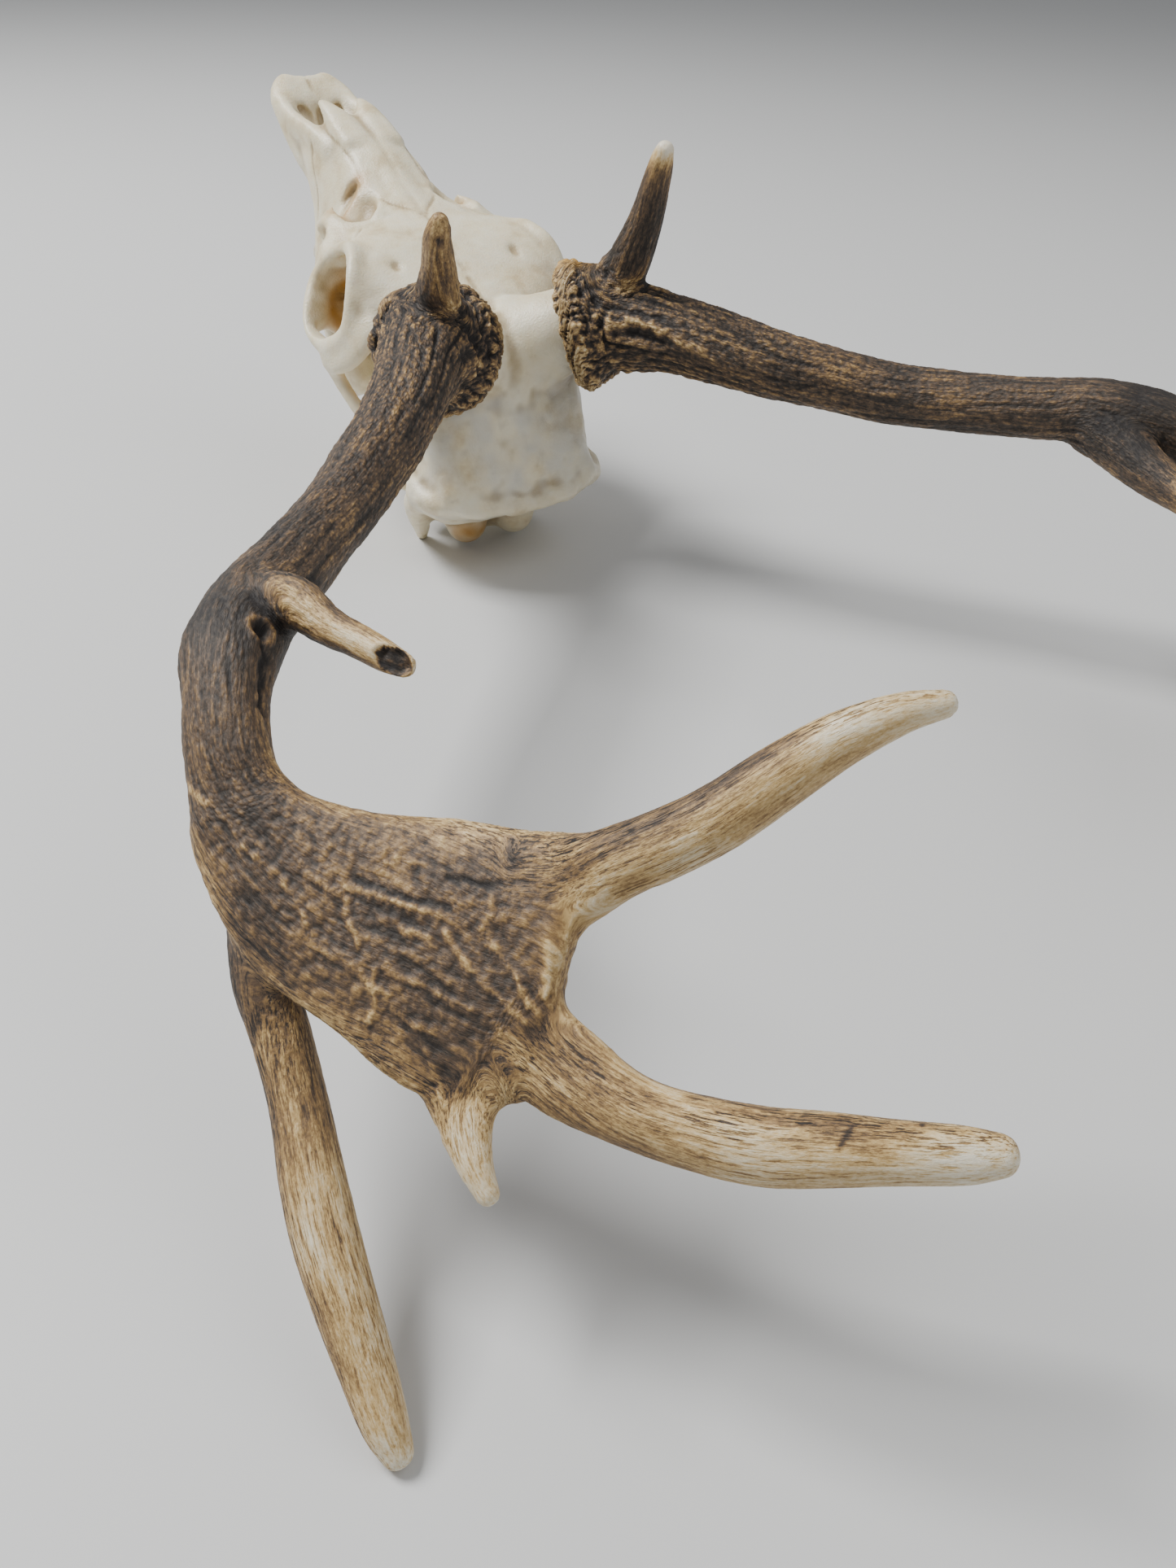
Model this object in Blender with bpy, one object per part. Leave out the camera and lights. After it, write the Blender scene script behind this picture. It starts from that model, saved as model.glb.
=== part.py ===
"""Fallow deer skull with both palmate antlers, lying on the back of its head.

The skull is modelled in anatomical millimetres: x to the animal's right, y towards the
nose, z towards the forehead, y = 0 at the back of the condyles, z = 0 at the palate.
One empty carries that frame, turns the nose up and rests the skull on the ground plane
with its jugular processes and the tips of both back tines.
"""
import math

import bmesh
import bpy
import numpy as np
from mathutils import Matrix, Vector

# Driving dimensions, in millimetres and degrees
MM = 0.001
NOSE_UP_DEG = 46.38
GAP = 0.3
REST_WEAR = 0.9
CRANIUM_VOXEL = 2.2
CRANIUM_KEEP = 0.066
TINE_SIDES = 12
BEAM_SIDES = 16
PALM_SIDES = 18
BEAM_FLUTING = 0.012

# Skull, right half, every length in millimetres
ORBIT_RIM = [(48, 107, 84.5), (52.5, 94, 82), (56, 84, 73.5), (60, 84, 62), (61.5, 90, 52),
             (61.5, 101, 45), (57.5, 113, 43.5), (50.5, 124, 47.5), (45.5, 126, 61), (44, 119, 76.5)]
ORBIT_RIM_SIZE = (8, 6.5)
ORBIT_CENTRE = (52, 104, 62)
ORBIT_SOCKET = (20, 16.5, 18.5)
PEDICLE_SIZE = 36
PEDICLE_FLARE = 12
PEDICLE_ROOT = -24
PEDICLE_TOP = 3
CONDYLE = (13, 3, 31)
CONDYLE_RADII = (8.5, 9, 11.5)
FORAMEN_MAGNUM = (0, -6, 45)
FORAMEN_MAGNUM_RADII = (10, 20, 9.5)
BULLA = (22, 24, 17)
BULLA_RADII = (8, 11, 9)
NASAL_OPENING = [(0, 229, 24, 20, 20), (0, 217, 24, 26, 25), (0, 200, 21, 28, 26), (0, 175, 21, 24, 24),
                 (0, 155, 22, 15, 17)]
VACUITY = (23, 153, 54)
VACUITY_RADII = (5, 11, 8)
TEAR_PIT = (50, 141, 47)
TEAR_PIT_RADII = (12, 11, 9)

# Cheek teeth: name, place along the row, distance from the midline, length, width
CHEEK_TEETH = [
    ("premolar_2", 162.5, 24.5, 10.5, 9.0),
    ("premolar_3", 151.0, 27.0, 11.5, 10.5),
    ("premolar_4", 139.5, 29.0, 10.8, 12.0),
    ("molar_1", 126.5, 30.5, 14.2, 13.5),
    ("molar_2", 111.0, 31.2, 16.0, 14.5),
    ("molar_3", 94.5, 30.5, 16.2, 14.0),
]
CROWN_HEIGHT = 9.0
ROOT_DEPTH = 6.0

# Head form along y: lowest z, highest z, half widths low, middle and high
HEAD_SECTIONS = [
    (-9, 58, 74, 20, 30, 26), (-4, 46, 80, 30, 38, 36), (2, 34, 84, 31, 42, 40), (10, 22, 88, 29, 41, 38.5),
    (27, 18, 94, 27, 42, 39.5), (45, 18, 99, 25, 43, 41), (61, 20, 102, 23, 40, 39),
    (77, 24, 98, 19, 29, 37), (91, 27, 91, 16, 21, 42), (105, 24, 86, 16, 20, 44),
    (118, 12, 80, 26, 25, 38), (130, 2, 72.5, 32, 32, 32), (145, 0, 65, 33, 32, 26),
    (160, 0, 59, 30, 29, 22), (176, 0, 53.5, 26, 26, 19), (192, 1, 47, 22.5, 24.5, 16.5),
    (206, 3, 39.5, 19, 22, 13.5),
]
# Brow roof along y: z at the midline, half width, z at the rim, thickness
ROOF_SECTIONS = [
    (66, 101, 30, 90, 8), (78, 98, 40, 87, 8), (88, 94, 52, 86, 7), (98, 90, 53, 86.5, 7),
    (108, 86, 50, 85, 7), (118, 81.5, 46, 79, 7), (128, 75.5, 40, 69, 7), (136, 70, 35, 60.5, 7),
    (144, 65.5, 29, 53.5, 6),
]
# Tubes and plates of the right half: name, up axis, superellipse power, rows
SKULL_TUBES = [
    ("arch", (0, 0, 1), 2.4, [(58.5, 99, 46, 6, 11), (57.5, 86, 46, 6, 10), (55, 70, 46, 6, 9),
                              (50, 55, 46, 7, 9), (42, 42, 46, 12, 10), (33, 36, 46, 14, 12)]),
    ("post_bar", (0, 1, 0), 2.4, [(44, 82, 84, 9, 16), (50, 80, 79, 8, 18), (55, 78, 70, 7, 19),
                                  (58.5, 80, 60, 7, 18), (60, 86, 50, 7, 16)]),
    ("cheek", (0, 0, 1), 2.4, [(58, 104, 41, 8, 12), (51, 115, 35, 12, 24), (43, 126, 28, 14, 32),
                               (34, 138, 24, 14, 32), (27, 152, 22, 12, 26)]),
    ("orbit_floor", (0, 0, 1), 2.4, [(50, 112, 38, 14, 8), (36, 106, 33, 20, 14), (26, 98, 28, 18, 16)]),
    ("tear_bone", (0.5, 0.2, 0.85), 2.4, [(46, 126, 56, 12, 8), (38, 132, 55, 28, 10),
                                          (30, 141, 52, 34, 14), (22, 151, 48, 28, 14)]),
    ("maxilla", (0, 0, 1), 3.0, [(29, 83, 11, 13, 14), (30.5, 93, 10, 19, 20), (31.5, 110, 10, 20, 21),
                                 (31, 126, 10, 20, 21), (29, 140, 10, 18, 20), (26.5, 152, 10, 15, 19),
                                 (23, 167, 9, 12, 17), (19, 182, 8, 9, 14)]),
    ("palate_shelf", (0, 0, 1), 3.0, [(12, 87, 5, 30, 6), (12, 100, 4.5, 30, 6), (12, 124, 4, 30, 6)]),
    ("premaxilla", (0, 0, 1), 2.4, [(15, 196, 9, 14, 14), (15.5, 210, 9, 15, 13), (15.5, 224, 8.5, 15, 11),
                                    (12, 236, 8, 20.5, 10), (8.4, 243.5, 6.5, 17.5, 9),
                                    (5, 250, 3.5, 8.5, 5)]),
    ("nose_wing", (0, 0, 1), 2.4, [(16, 238, 9, 8, 8), (18.5, 227, 12.5, 7.5, 10), (18.8, 214, 19, 8, 13),
                                   (18.4, 202, 27.5, 8, 14), (17.5, 188, 34, 8, 14)]),
    ("palate_rod", (0, 0, 1), 2.4, [(3.4, 248, 3.5, 6, 5), (2.6, 228, 4, 5, 5), (3.4, 205, 5, 7, 5)]),
    ("nasal_tip", (0, 0, 1), 2.4, [(8, 184, 46.5, 17, 9), (8.5, 197, 42.5, 14, 8), (9.5, 210, 37.5, 7, 5.5)]),
    ("nuchal_crest", (0, 0, 1), 2.2, [(0, -11, 74, 8, 9), (16, -10, 76, 8, 9), (33, -4, 73, 8, 9),
                                      (44, 6, 65, 8, 9), (43, 20, 58, 7, 8), (38, 38, 50, 7, 9)]),
    ("mastoid", (0, 1, 0), 2.2, [(44, 8, 62, 9, 10), (42, 11, 48, 10, 12), (36, 10, 32, 11, 11),
                                 (31, 8, 18, 9, 8), (28, 5, 7, 5.5, 5)]),
    ("ear_tube", (0, 0, 1), 2.0, [(30, 27, 30, 14, 14), (44, 29, 37, 9, 9)]),
    ("pterygoid", (0, 0, 1), 2.4, [(12, 93, 12, 3.6, 22), (11, 80, 14, 3.6, 22), (10, 67, 22, 4, 10)]),
]
# Rods on the midline: name, rows
MIDLINE_TUBES = [
    ("skull_base", [(0, 0, 25, 24, 11), (0, 25, 21, 20, 10), (0, 50, 24, 15, 11), (0, 84, 29, 11, 10)]),
    ("vomer", [(0, 84, 18, 3, 20), (0, 120, 12, 3, 20), (0, 190, 10, 3, 12)]),
]

# Antler, right copy: centre x, y, z, then size across and size through, in millimetres
BURR_CENTRE = (35, 53.5, 111)
BURR_AXIS = (0.82, -0.14, 0.55)
BURR_SIZE = 55
BURR_DEPTH = 10
BURR_PEARLS = 17
PEARL_HEIGHT = 1.6
BLADE_NORMAL = (0.625, 0.154, 0.765)
BEAM = [
    (32, 54, 109.2, 44, 44), (37.5, 52.6, 113.6, 44, 43.5), (46, 45.5, 125, 39, 38), (57.5, 34, 138, 32, 32),
    (69.5, 20, 150, 29, 28.5), (86, 3, 162, 28, 27), (102, -11, 173, 26, 25), (120, -27, 186, 24, 23.5),
    (138, -41, 202, 23.5, 23), (155.5, -55, 221, 24, 23.5), (170.5, -67, 238, 26.5, 24),
    (181, -80, 250, 24, 22), (187, -92, 256, 21.5, 20), (190.5, -103, 259.5, 22.5, 18.5),
    (192, -112, 261.3, 25, 17.5),
]
BROW_TINE = {
    -1: [(40, 52, 120, 24, 22), (40, 57, 132, 22, 20), (41.5, 61, 145, 17, 16.5),
         (44, 64.5, 158, 12.5, 12.5), (47, 67, 169, 10, 10), (48, 69, 177, 6.5, 6.5)],
    1: [(42, 50, 120, 26, 22), (44, 59, 134, 23, 21), (47, 64, 148, 18, 17.5), (49, 71, 164, 13.5, 13.5),
        (49.5, 78.5, 178, 10.5, 10.5), (50, 84, 187.5, 7, 7)],
}
TREZ_TINE = {
    -1: [(170, -64, 234, 13, 13), (165, -65, 243, 15, 15), (161, -70, 254, 13, 13), (158, -79, 263, 9.5, 9),
         (154, -87, 272, 8, 7.5), (151, -93, 278, 7, 6.5), (149, -97, 282, 4.5, 4)],
    1: [(168, -70, 236, 15, 15), (166, -82, 243, 19.5, 17), (162, -96, 253, 17, 15.5),
        (159, -106, 262, 14.5, 13.5), (155, -115, 271, 11.5, 10.5), (153, -122, 277, 8, 7.5),
        (152, -127, 282, 4.5, 4)],
}
# Palm by its two edges: upper edge point, lower edge point, thickness
PALM = [
    ((182.5, -106, 264), (200.5, -105, 255), 14), ((179.5, -116, 269), (203.5, -115, 257.5), 16),
    ((174.5, -122, 274), (204.5, -123, 259.5), 14.5), ((165.5, -129, 283), (204.5, -138, 265), 12.5),
    ((152.5, -136, 295), (201.5, -155, 272), 11), ((142.5, -143, 306), (191.5, -170, 283), 10),
    ((134.5, -147, 315), (183.5, -186, 292), 9.5), ((130.5, -149, 321), (173.5, -196, 301), 9.5),
    ((132.5, -154, 323), (164.5, -199, 308), 9.5), ((138.5, -163, 321), (158.5, -198, 312), 9),
]
TOP_TINE = [
    (148.5, -155, 309, 20, 6), (140.5, -157, 317, 22, 8), (132.5, -156, 325.5, 17, 12),
    (123.5, -155, 332.5, 14.8, 13), (113.5, -153, 340.5, 14, 13), (102.5, -149, 350, 13, 12.5),
    (92.5, -146, 358, 11.2, 11), (82.5, -145, 365, 7.8, 7.8), (76.5, -146, 368, 4, 4),
]
MIDDLE_TINE = [
    (159.5, -181, 307, 22, 6), (154.5, -193, 315, 22, 8), (147.5, -204, 323, 16, 12),
    (138.5, -212, 331, 15.6, 13), (129.5, -218, 339, 15.6, 13.5), (119.5, -222, 347, 14.6, 13),
    (109.5, -226, 354, 12.4, 11.5), (99.5, -230, 361, 9.8, 9.5), (95, -232, 365, 6, 6),
]
SPUR = [
    (170.5, -185, 298, 22, 6), (173.5, -194, 299.5, 17, 7.5), (175.5, -200.5, 302, 10, 7),
    (176.5, -207, 304.5, 6.5, 6), (176.5, -214, 307, 3.4, 3.4),
]
BACK_TINE = [
    (196.5, -145, 265, 13, 8), (200.5, -157, 265.5, 15, 12), (201, -170, 266.5, 14, 13),
    (202.5, -185, 269, 13.5, 13.5), (205.5, -201, 273.5, 14.8, 14.5), (207.5, -215, 278, 15, 14.5),
    (208.5, -229, 282, 14, 13.5), (209, -241, 285, 12.4, 12), (209.5, -252, 288, 9.8, 9.6),
    (209.5, -260.5, 290, 6.2, 6.2),
]


def clear_scene():
    for thing in list(bpy.data.objects):
        bpy.data.objects.remove(thing, do_unlink=True)


def material(name, colour, roughness):
    made = bpy.data.materials.new(name)
    made.use_nodes = True
    shader = made.node_tree.nodes["Principled BSDF"]
    shader.inputs["Base Color"].default_value = (*colour, 1.0)
    shader.inputs["Roughness"].default_value = roughness
    shader.inputs["Metallic"].default_value = 0.0
    return made


def add_object(name, mesh, parent, finish=None):
    thing = bpy.data.objects.new(name, mesh)
    bpy.context.scene.collection.objects.link(thing)
    thing.parent = parent
    if finish is not None:
        mesh.materials.append(finish)
    mesh.shade_smooth()
    return thing


def smooth_rows(rows, steps):
    """Rows read at even steps from a Catmull-Rom curve through the given rows."""
    rows = np.array(rows, float)
    padded = np.vstack([2 * rows[0] - rows[1], rows, 2 * rows[-1] - rows[-2]])
    result = []
    for index in range(len(rows) - 1):
        a, b, c, d = padded[index:index + 4]
        for step in range(steps):
            t = step / steps
            result.append(0.5 * (2 * b + (c - a) * t + (2 * a - 5 * b + 4 * c - d) * t * t
                                 + (3 * b - a - 3 * c + d) * t ** 3))
    result.append(rows[-1])
    return np.array(result)


def rings_to_mesh(name, rings, closed_loop=False):
    """A closed skin over rings of equal point count, capped at both ends unless it is a loop."""
    shape = bmesh.new()
    made = [[shape.verts.new(Vector(point) * MM) for point in ring] for ring in rings]
    count = len(made[0])
    pairs = list(zip(made, made[1:]))
    if closed_loop:
        pairs.append((made[-1], made[0]))
    else:
        shape.faces.new(list(reversed(made[0])))
        shape.faces.new(made[-1])
    for low, high in pairs:
        for index in range(count):
            after = (index + 1) % count
            shape.faces.new((low[index], low[after], high[after]))
            shape.faces.new((low[index], high[after], high[index]))
    bmesh.ops.recalc_face_normals(shape, faces=shape.faces)
    if shape.calc_volume(signed=True) < 0:
        bmesh.ops.reverse_faces(shape, faces=shape.faces)
    mesh = bpy.data.meshes.new(name)
    shape.to_mesh(mesh)
    shape.free()
    return mesh


def loft(name, rows, side=1, up=(0, 0, 1), sides=TINE_SIDES, steps=1, power=2.0,
         grow=0.0, loop=False, ridge=0.0):
    """A tube of superellipse sections: rows hold x, y, z, size across and size along up."""
    rows = np.array(rows, float)
    if loop:
        wrapped = smooth_rows(np.vstack([rows[-1:], rows, rows[:2]]), steps)
        rows = wrapped[steps:-steps - 1]
    elif steps > 1:
        rows = smooth_rows(rows, steps)
    centres = rows[:, :3] * (side, 1, 1)
    ahead = np.roll(centres, -1, 0) if loop else np.vstack([centres[1:], 2 * centres[-1] - centres[-2]])
    behind = np.roll(centres, 1, 0) if loop else np.vstack([2 * centres[0] - centres[1], centres[:-1]])
    reference = Vector(up)
    reference.x *= side
    rings = []
    for number, row in enumerate(rows):
        along = Vector(ahead[number] - behind[number]).normalized()
        height = (reference - along * reference.dot(along)).normalized()
        width = along.cross(height)
        centre = Vector(centres[number])
        if not loop and number in (0, len(rows) - 1):
            centre += along * (grow if number else -grow)
        ring = []
        for index in range(sides):
            angle = 2 * math.pi * index / sides
            fluting = 1 + ridge * math.cos(angle * sides / 2) + ridge * math.sin(3 * angle + 0.7 * number)
            across = math.copysign(abs(math.cos(angle)) ** (2 / power), math.cos(angle))
            through = math.copysign(abs(math.sin(angle)) ** (2 / power), math.sin(angle))
            ring.append(centre + width * across * (row[3] * fluting / 2 + grow)
                        + height * through * (row[4] * fluting / 2 + grow))
        rings.append(ring)
    return rings_to_mesh(name, rings, loop)


def ball(name, centre, radii, side=1, lean_deg=0):
    """An ellipsoid; lean turns it about z, mirrored with the side."""
    shape = bmesh.new()
    bmesh.ops.create_icosphere(shape, subdivisions=3, radius=1)
    turn = Matrix.Rotation(math.radians(lean_deg) * side, 4, "Z")
    place = Matrix.Translation(Vector((centre[0] * side, centre[1], centre[2])))
    scale = Matrix.Diagonal((*radii, 1))
    bmesh.ops.transform(shape, matrix=Matrix.Scale(MM, 4) @ place @ turn @ scale, verts=shape.verts)
    mesh = bpy.data.meshes.new(name)
    shape.to_mesh(mesh)
    shape.free()
    return mesh


def join_meshes(name, meshes):
    shape = bmesh.new()
    for mesh in meshes:
        shape.from_mesh(mesh)
    joined = bpy.data.meshes.new(name)
    shape.to_mesh(joined)
    shape.free()
    return joined


def cutter(name, mesh, parent):
    thing = add_object(name, mesh, parent)
    thing.hide_render = True
    thing.display_type = "WIRE"
    return thing


def combine(thing, other, operation):
    change = thing.modifiers.new(other.name, "BOOLEAN")
    change.object = other
    change.operation = operation
    change.solver = "EXACT"
    return change


def section_rings(rows, sides):
    """Head sections: y, lowest z, highest z, half widths low, middle and high."""
    rings = []
    for y, low, high, half_low, half_middle, half_high in smooth_rows(rows, 2):
        tall = high - low
        right = [(0, low), (half_low * 0.8, low + 0.03 * tall), (half_low, low + 0.16 * tall),
                 (half_middle, low + 0.5 * tall), (half_high, low + 0.84 * tall),
                 (half_high * 0.62, low + 0.965 * tall), (0, high)]
        outline = right + [(-x, z) for x, z in reversed(right[1:-1])]
        wrapped = outline[-1:] + outline + outline[:2]
        curve = smooth_rows(wrapped, sides)[sides:-sides - 1]
        rings.append([(x, y, z) for x, z in curve])
    return rings


def burr_point(along):
    axis = Vector(BURR_AXIS).normalized()
    return Vector(BURR_CENTRE) + axis * along


def burr_mesh(name, side, grow):
    """The pearled ring at the antler's foot."""
    axis = Vector(BURR_AXIS).normalized()
    across = axis.cross(Vector((0, 0, 1))).normalized()
    other = axis.cross(across)
    half = BURR_DEPTH / 2
    profile = [(-half, 0.74), (-half * 0.75, 0.95), (0, 1.0), (half * 0.75, 0.94), (half, 0.70)]
    count = BURR_PEARLS * 2
    rings = []
    for along, share in profile:
        centre = burr_point(along + math.copysign(grow, along) * (abs(along) > 0))
        ring = []
        for index in range(count):
            angle = 2 * math.pi * index / count
            pearl = PEARL_HEIGHT * (-1) ** index * (share > 0.9)
            radius = BURR_SIZE / 2 * share * (1 + 0.04 * math.sin(2 * angle + 1)) + pearl + grow
            point = centre + (across * math.cos(angle) + other * math.sin(angle)) * radius
            ring.append((point.x * side, point.y, point.z))
        rings.append(ring)
    return rings_to_mesh(name, rings)


def antler_loft(name, rows, side, grow=0.0, sides=TINE_SIDES, ridge=0.0):
    return loft(name, rows, side, BLADE_NORMAL, sides, grow=grow, ridge=ridge)


def palm_mesh(name, side, grow):
    """The blade: sections span its two edges and taper to them."""
    normal = Vector(BLADE_NORMAL).normalized()
    rings = []
    for number, (upper, lower, thick) in enumerate(PALM):
        edge, other = Vector(upper), Vector(lower)
        half = (edge - other) / 2
        through = (normal - half * normal.dot(half) / half.length_squared).normalized()
        along = through.cross(half).normalized()
        outward = {0: -grow, len(PALM) - 1: grow}.get(number, 0.0)
        centre = (edge + other) / 2 + along * outward
        ring = []
        for index in range(PALM_SIDES):
            angle = 2 * math.pi * index / PALM_SIDES
            across = math.copysign(abs(math.cos(angle)) ** 0.8, math.cos(angle))
            swell = math.copysign(abs(math.sin(angle)) ** 0.8, math.sin(angle))
            point = centre + half.normalized() * across * (half.length + grow)
            point += through * swell * (thick / 2 + grow)
            ring.append((point.x * side, point.y, point.z))
        rings.append(ring)
    return rings_to_mesh(name, rings)


def build_antler(side, axes, antler_finish, tine_finish):
    word = "left" if side < 0 else "right"
    beam_form = antler_loft("beam", BEAM, side, 0, BEAM_SIDES, BEAM_FLUTING)
    beam = add_object(f"{word}_beam", beam_form, axes, antler_finish)
    burr = cutter(f"{word}_burr_form", burr_mesh("burr", side, 0), axes)
    combine(beam, burr, "UNION")
    palm = add_object(f"{word}_palm", palm_mesh("palm", side, 0), axes, antler_finish)
    room_form = antler_loft("beam_room", BEAM, side, GAP, BEAM_SIDES, BEAM_FLUTING)
    beam_room = cutter(f"{word}_beam_room", room_form, axes)
    palm_room = cutter(f"{word}_palm_room", palm_mesh("palm_room", side, GAP), axes)
    burr_room = cutter(f"{word}_burr_room", burr_mesh("burr_room", side, GAP), axes)
    combine(palm, beam_room, "DIFFERENCE")

    branches = [
        ("brow_tine", BROW_TINE[side], [beam_room, burr_room], antler_finish),
        ("trez_tine", TREZ_TINE[side], [beam_room], tine_finish),
        ("top_tine", TOP_TINE, [palm_room], tine_finish),
        ("middle_tine", MIDDLE_TINE, [palm_room], tine_finish),
        ("spur", SPUR, [palm_room], tine_finish),
        ("back_tine", BACK_TINE, [palm_room, beam_room], tine_finish),
    ]
    made = {}
    for part, rows, rooms, finish in branches:
        tine = add_object(f"{word}_{part}", antler_loft(part, rows, side), axes, finish)
        for room in rooms:
            combine(tine, room, "DIFFERENCE")
        made[part] = tine
    return beam_room, burr_room, made


def tooth_mesh(name, side, place, out, length, width, grow, molar):
    """A cheek tooth: lobed crown below the jaw line, root block above it."""
    levels = [(-CROWN_HEIGHT, 0.78), (-2.5, 1.0), (ROOT_DEPTH, 0.84)]
    count = 12
    dent = 0.10 if molar else 0.05
    rings = []
    for z, share in levels:
        reach = z + (grow if z > 0 else -grow)
        ring = []
        for index in range(count):
            angle = 2 * math.pi * index / count
            lobes = 1 - dent * math.cos(2 * angle + math.pi) ** 2 * abs(math.sin(angle))
            x = out + (width / 2 * share * lobes + grow) * math.cos(angle)
            run = math.copysign(abs(math.sin(angle)) ** 0.7, math.sin(angle))
            y = place + (length / 2 * share + grow) * run
            ring.append((x * side, y, reach))
        rings.append(ring)
    return rings_to_mesh(name, rings)


def build_teeth(side, axes, finish):
    word = "left" if side < 0 else "right"
    sockets = []
    for tooth, place, out, length, width in CHEEK_TEETH:
        molar = tooth.startswith("molar")
        crown = tooth_mesh(tooth, side, place, out, length, width, 0, molar)
        add_object(f"{word}_{tooth}", crown, axes, finish)
        sockets.append(tooth_mesh("socket", side, place, out, length, width, GAP, molar))
    return cutter(f"{word}_tooth_sockets", join_meshes("sockets", sockets), axes)


def roof_rings():
    rings = []
    spread = np.linspace(-1, 1, 13)
    for y, middle, half, rim, thick in smooth_rows(ROOF_SECTIONS, 2):
        top = [(half * s, y, rim + (middle - rim) * (1 - abs(s) ** 2.2)) for s in spread]
        low = [(x * 0.97, y, z - thick * (1 - 0.5 * abs(x / half) ** 6)) for x, y, z in reversed(top)]
        rings.append(top + low)
    return rings


def keep_largest_body(thing):
    """Applies the modifiers so far and drops the chips that the hollows leave loose."""
    bpy.context.view_layer.update()
    shaped = thing.evaluated_get(bpy.context.evaluated_depsgraph_get())
    mesh = bpy.data.meshes.new_from_object(shaped)
    shape = bmesh.new()
    shape.from_mesh(mesh)
    bodies = []
    left = set(shape.verts)
    while left:
        body = [left.pop()]
        for vert in body:
            near = {edge.other_vert(vert) for edge in vert.link_edges} & left
            left -= near
            body.extend(near)
        bodies.append(body)
    bodies.sort(key=len)
    bmesh.ops.delete(shape, geom=[vert for body in bodies[:-1] for vert in body], context="VERTS")
    shape.to_mesh(mesh)
    shape.free()
    thing.modifiers.clear()
    thing.data = mesh


def build_cranium(axes, finish):
    solids = [rings_to_mesh("head", section_rings(HEAD_SECTIONS, 2)), rings_to_mesh("roof", roof_rings())]
    for name, rows in MIDLINE_TUBES:
        solids.append(loft(name, rows, steps=3))
    for side in (-1, 1):
        for name, up, power, rows in SKULL_TUBES:
            solids.append(loft(name, rows, side, up, 12, 3, power))
        rim = [(*point, *ORBIT_RIM_SIZE) for point in ORBIT_RIM]
        solids.append(loft("orbit_rim", rim, side, (0.9, 0.4, 0.1), 10, 3, loop=True))
        solids.append(ball("condyle", CONDYLE, CONDYLE_RADII, side))
        solids.append(ball("bulla", BULLA, BULLA_RADII, side))
        foot = PEDICLE_SIZE + PEDICLE_FLARE
        pedicle = [(*burr_point(PEDICLE_ROOT) * 0.94, foot, foot),
                   (*burr_point(PEDICLE_ROOT / 2), PEDICLE_SIZE + 1, PEDICLE_SIZE + 1),
                   (*burr_point(PEDICLE_TOP), PEDICLE_SIZE, PEDICLE_SIZE)]
        solids.append(loft("pedicle", pedicle, side, (0, 0, 1), 20, 3))
    cranium = add_object("cranium", join_meshes("cranium", solids), axes, finish)
    fused = cranium.modifiers.new("fused", "REMESH")
    fused.mode = "VOXEL"
    fused.voxel_size = CRANIUM_VOXEL * MM
    fused.use_smooth_shade = True

    hollows = [("nose", loft("nose", NASAL_OPENING, 1, (0, 0, 1), 12, 2, 2.6)),
               ("brain_opening", ball("brain_opening", FORAMEN_MAGNUM, FORAMEN_MAGNUM_RADII))]
    for side in (-1, 1):
        hollows += [("socket", ball("socket", ORBIT_CENTRE, ORBIT_SOCKET, side)),
                    ("vacuity", ball("vacuity", VACUITY, VACUITY_RADII, side, -12)),
                    ("tear_pit", ball("tear_pit", TEAR_PIT, TEAR_PIT_RADII, side))]
    for number, (name, mesh) in enumerate(hollows):
        combine(cranium, cutter(f"{name}_hollow_{number}", mesh, axes), "DIFFERENCE")
    skin = cranium.modifiers.new("skin", "REMESH")
    skin.mode = "VOXEL"
    skin.voxel_size = CRANIUM_VOXEL * MM
    keep_largest_body(cranium)
    eased = cranium.modifiers.new("eased", "SMOOTH")
    eased.factor = 0.5
    eased.iterations = 2
    lighter = cranium.modifiers.new("lighter", "DECIMATE")
    lighter.ratio = CRANIUM_KEEP
    return cranium


def evaluated_box(things):
    graph = bpy.context.evaluated_depsgraph_get()
    low, high = np.full(3, np.inf), np.full(3, -np.inf)
    for thing in things:
        mesh = thing.evaluated_get(graph).to_mesh()
        points = np.empty(len(mesh.vertices) * 3, dtype=np.float32)
        mesh.vertices.foreach_get("co", points)
        place = np.array(thing.matrix_world)
        points = points.reshape(-1, 3) @ place[:3, :3].T + place[:3, 3]
        low, high = np.minimum(low, points.min(0)), np.maximum(high, points.max(0))
        thing.evaluated_get(graph).to_mesh_clear()
    return low, high


def rest_on_ground(axes, resting):
    """Moves the frame so the part is centred over the origin, its lowest points just worn flat."""
    bpy.context.view_layer.update()
    pieces = [thing for thing in bpy.data.objects if thing.type == "MESH" and not thing.hide_render]
    low, high = evaluated_box(pieces)
    axes.location = (-(low[0] + high[0]) / 2, -(low[1] + high[1]) / 2, -low[2] - REST_WEAR * MM)
    shape = bmesh.new()
    bmesh.ops.create_cube(shape, size=1)
    bmesh.ops.transform(shape, matrix=Matrix.Translation((0, 0, -0.05)) @ Matrix.Diagonal((1, 1, 0.1, 1)),
                        verts=shape.verts)
    mesh = bpy.data.meshes.new("ground")
    shape.to_mesh(mesh)
    shape.free()
    ground = cutter("ground_wear", mesh, None)
    for thing in resting:
        combine(thing, ground, "DIFFERENCE")


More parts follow.
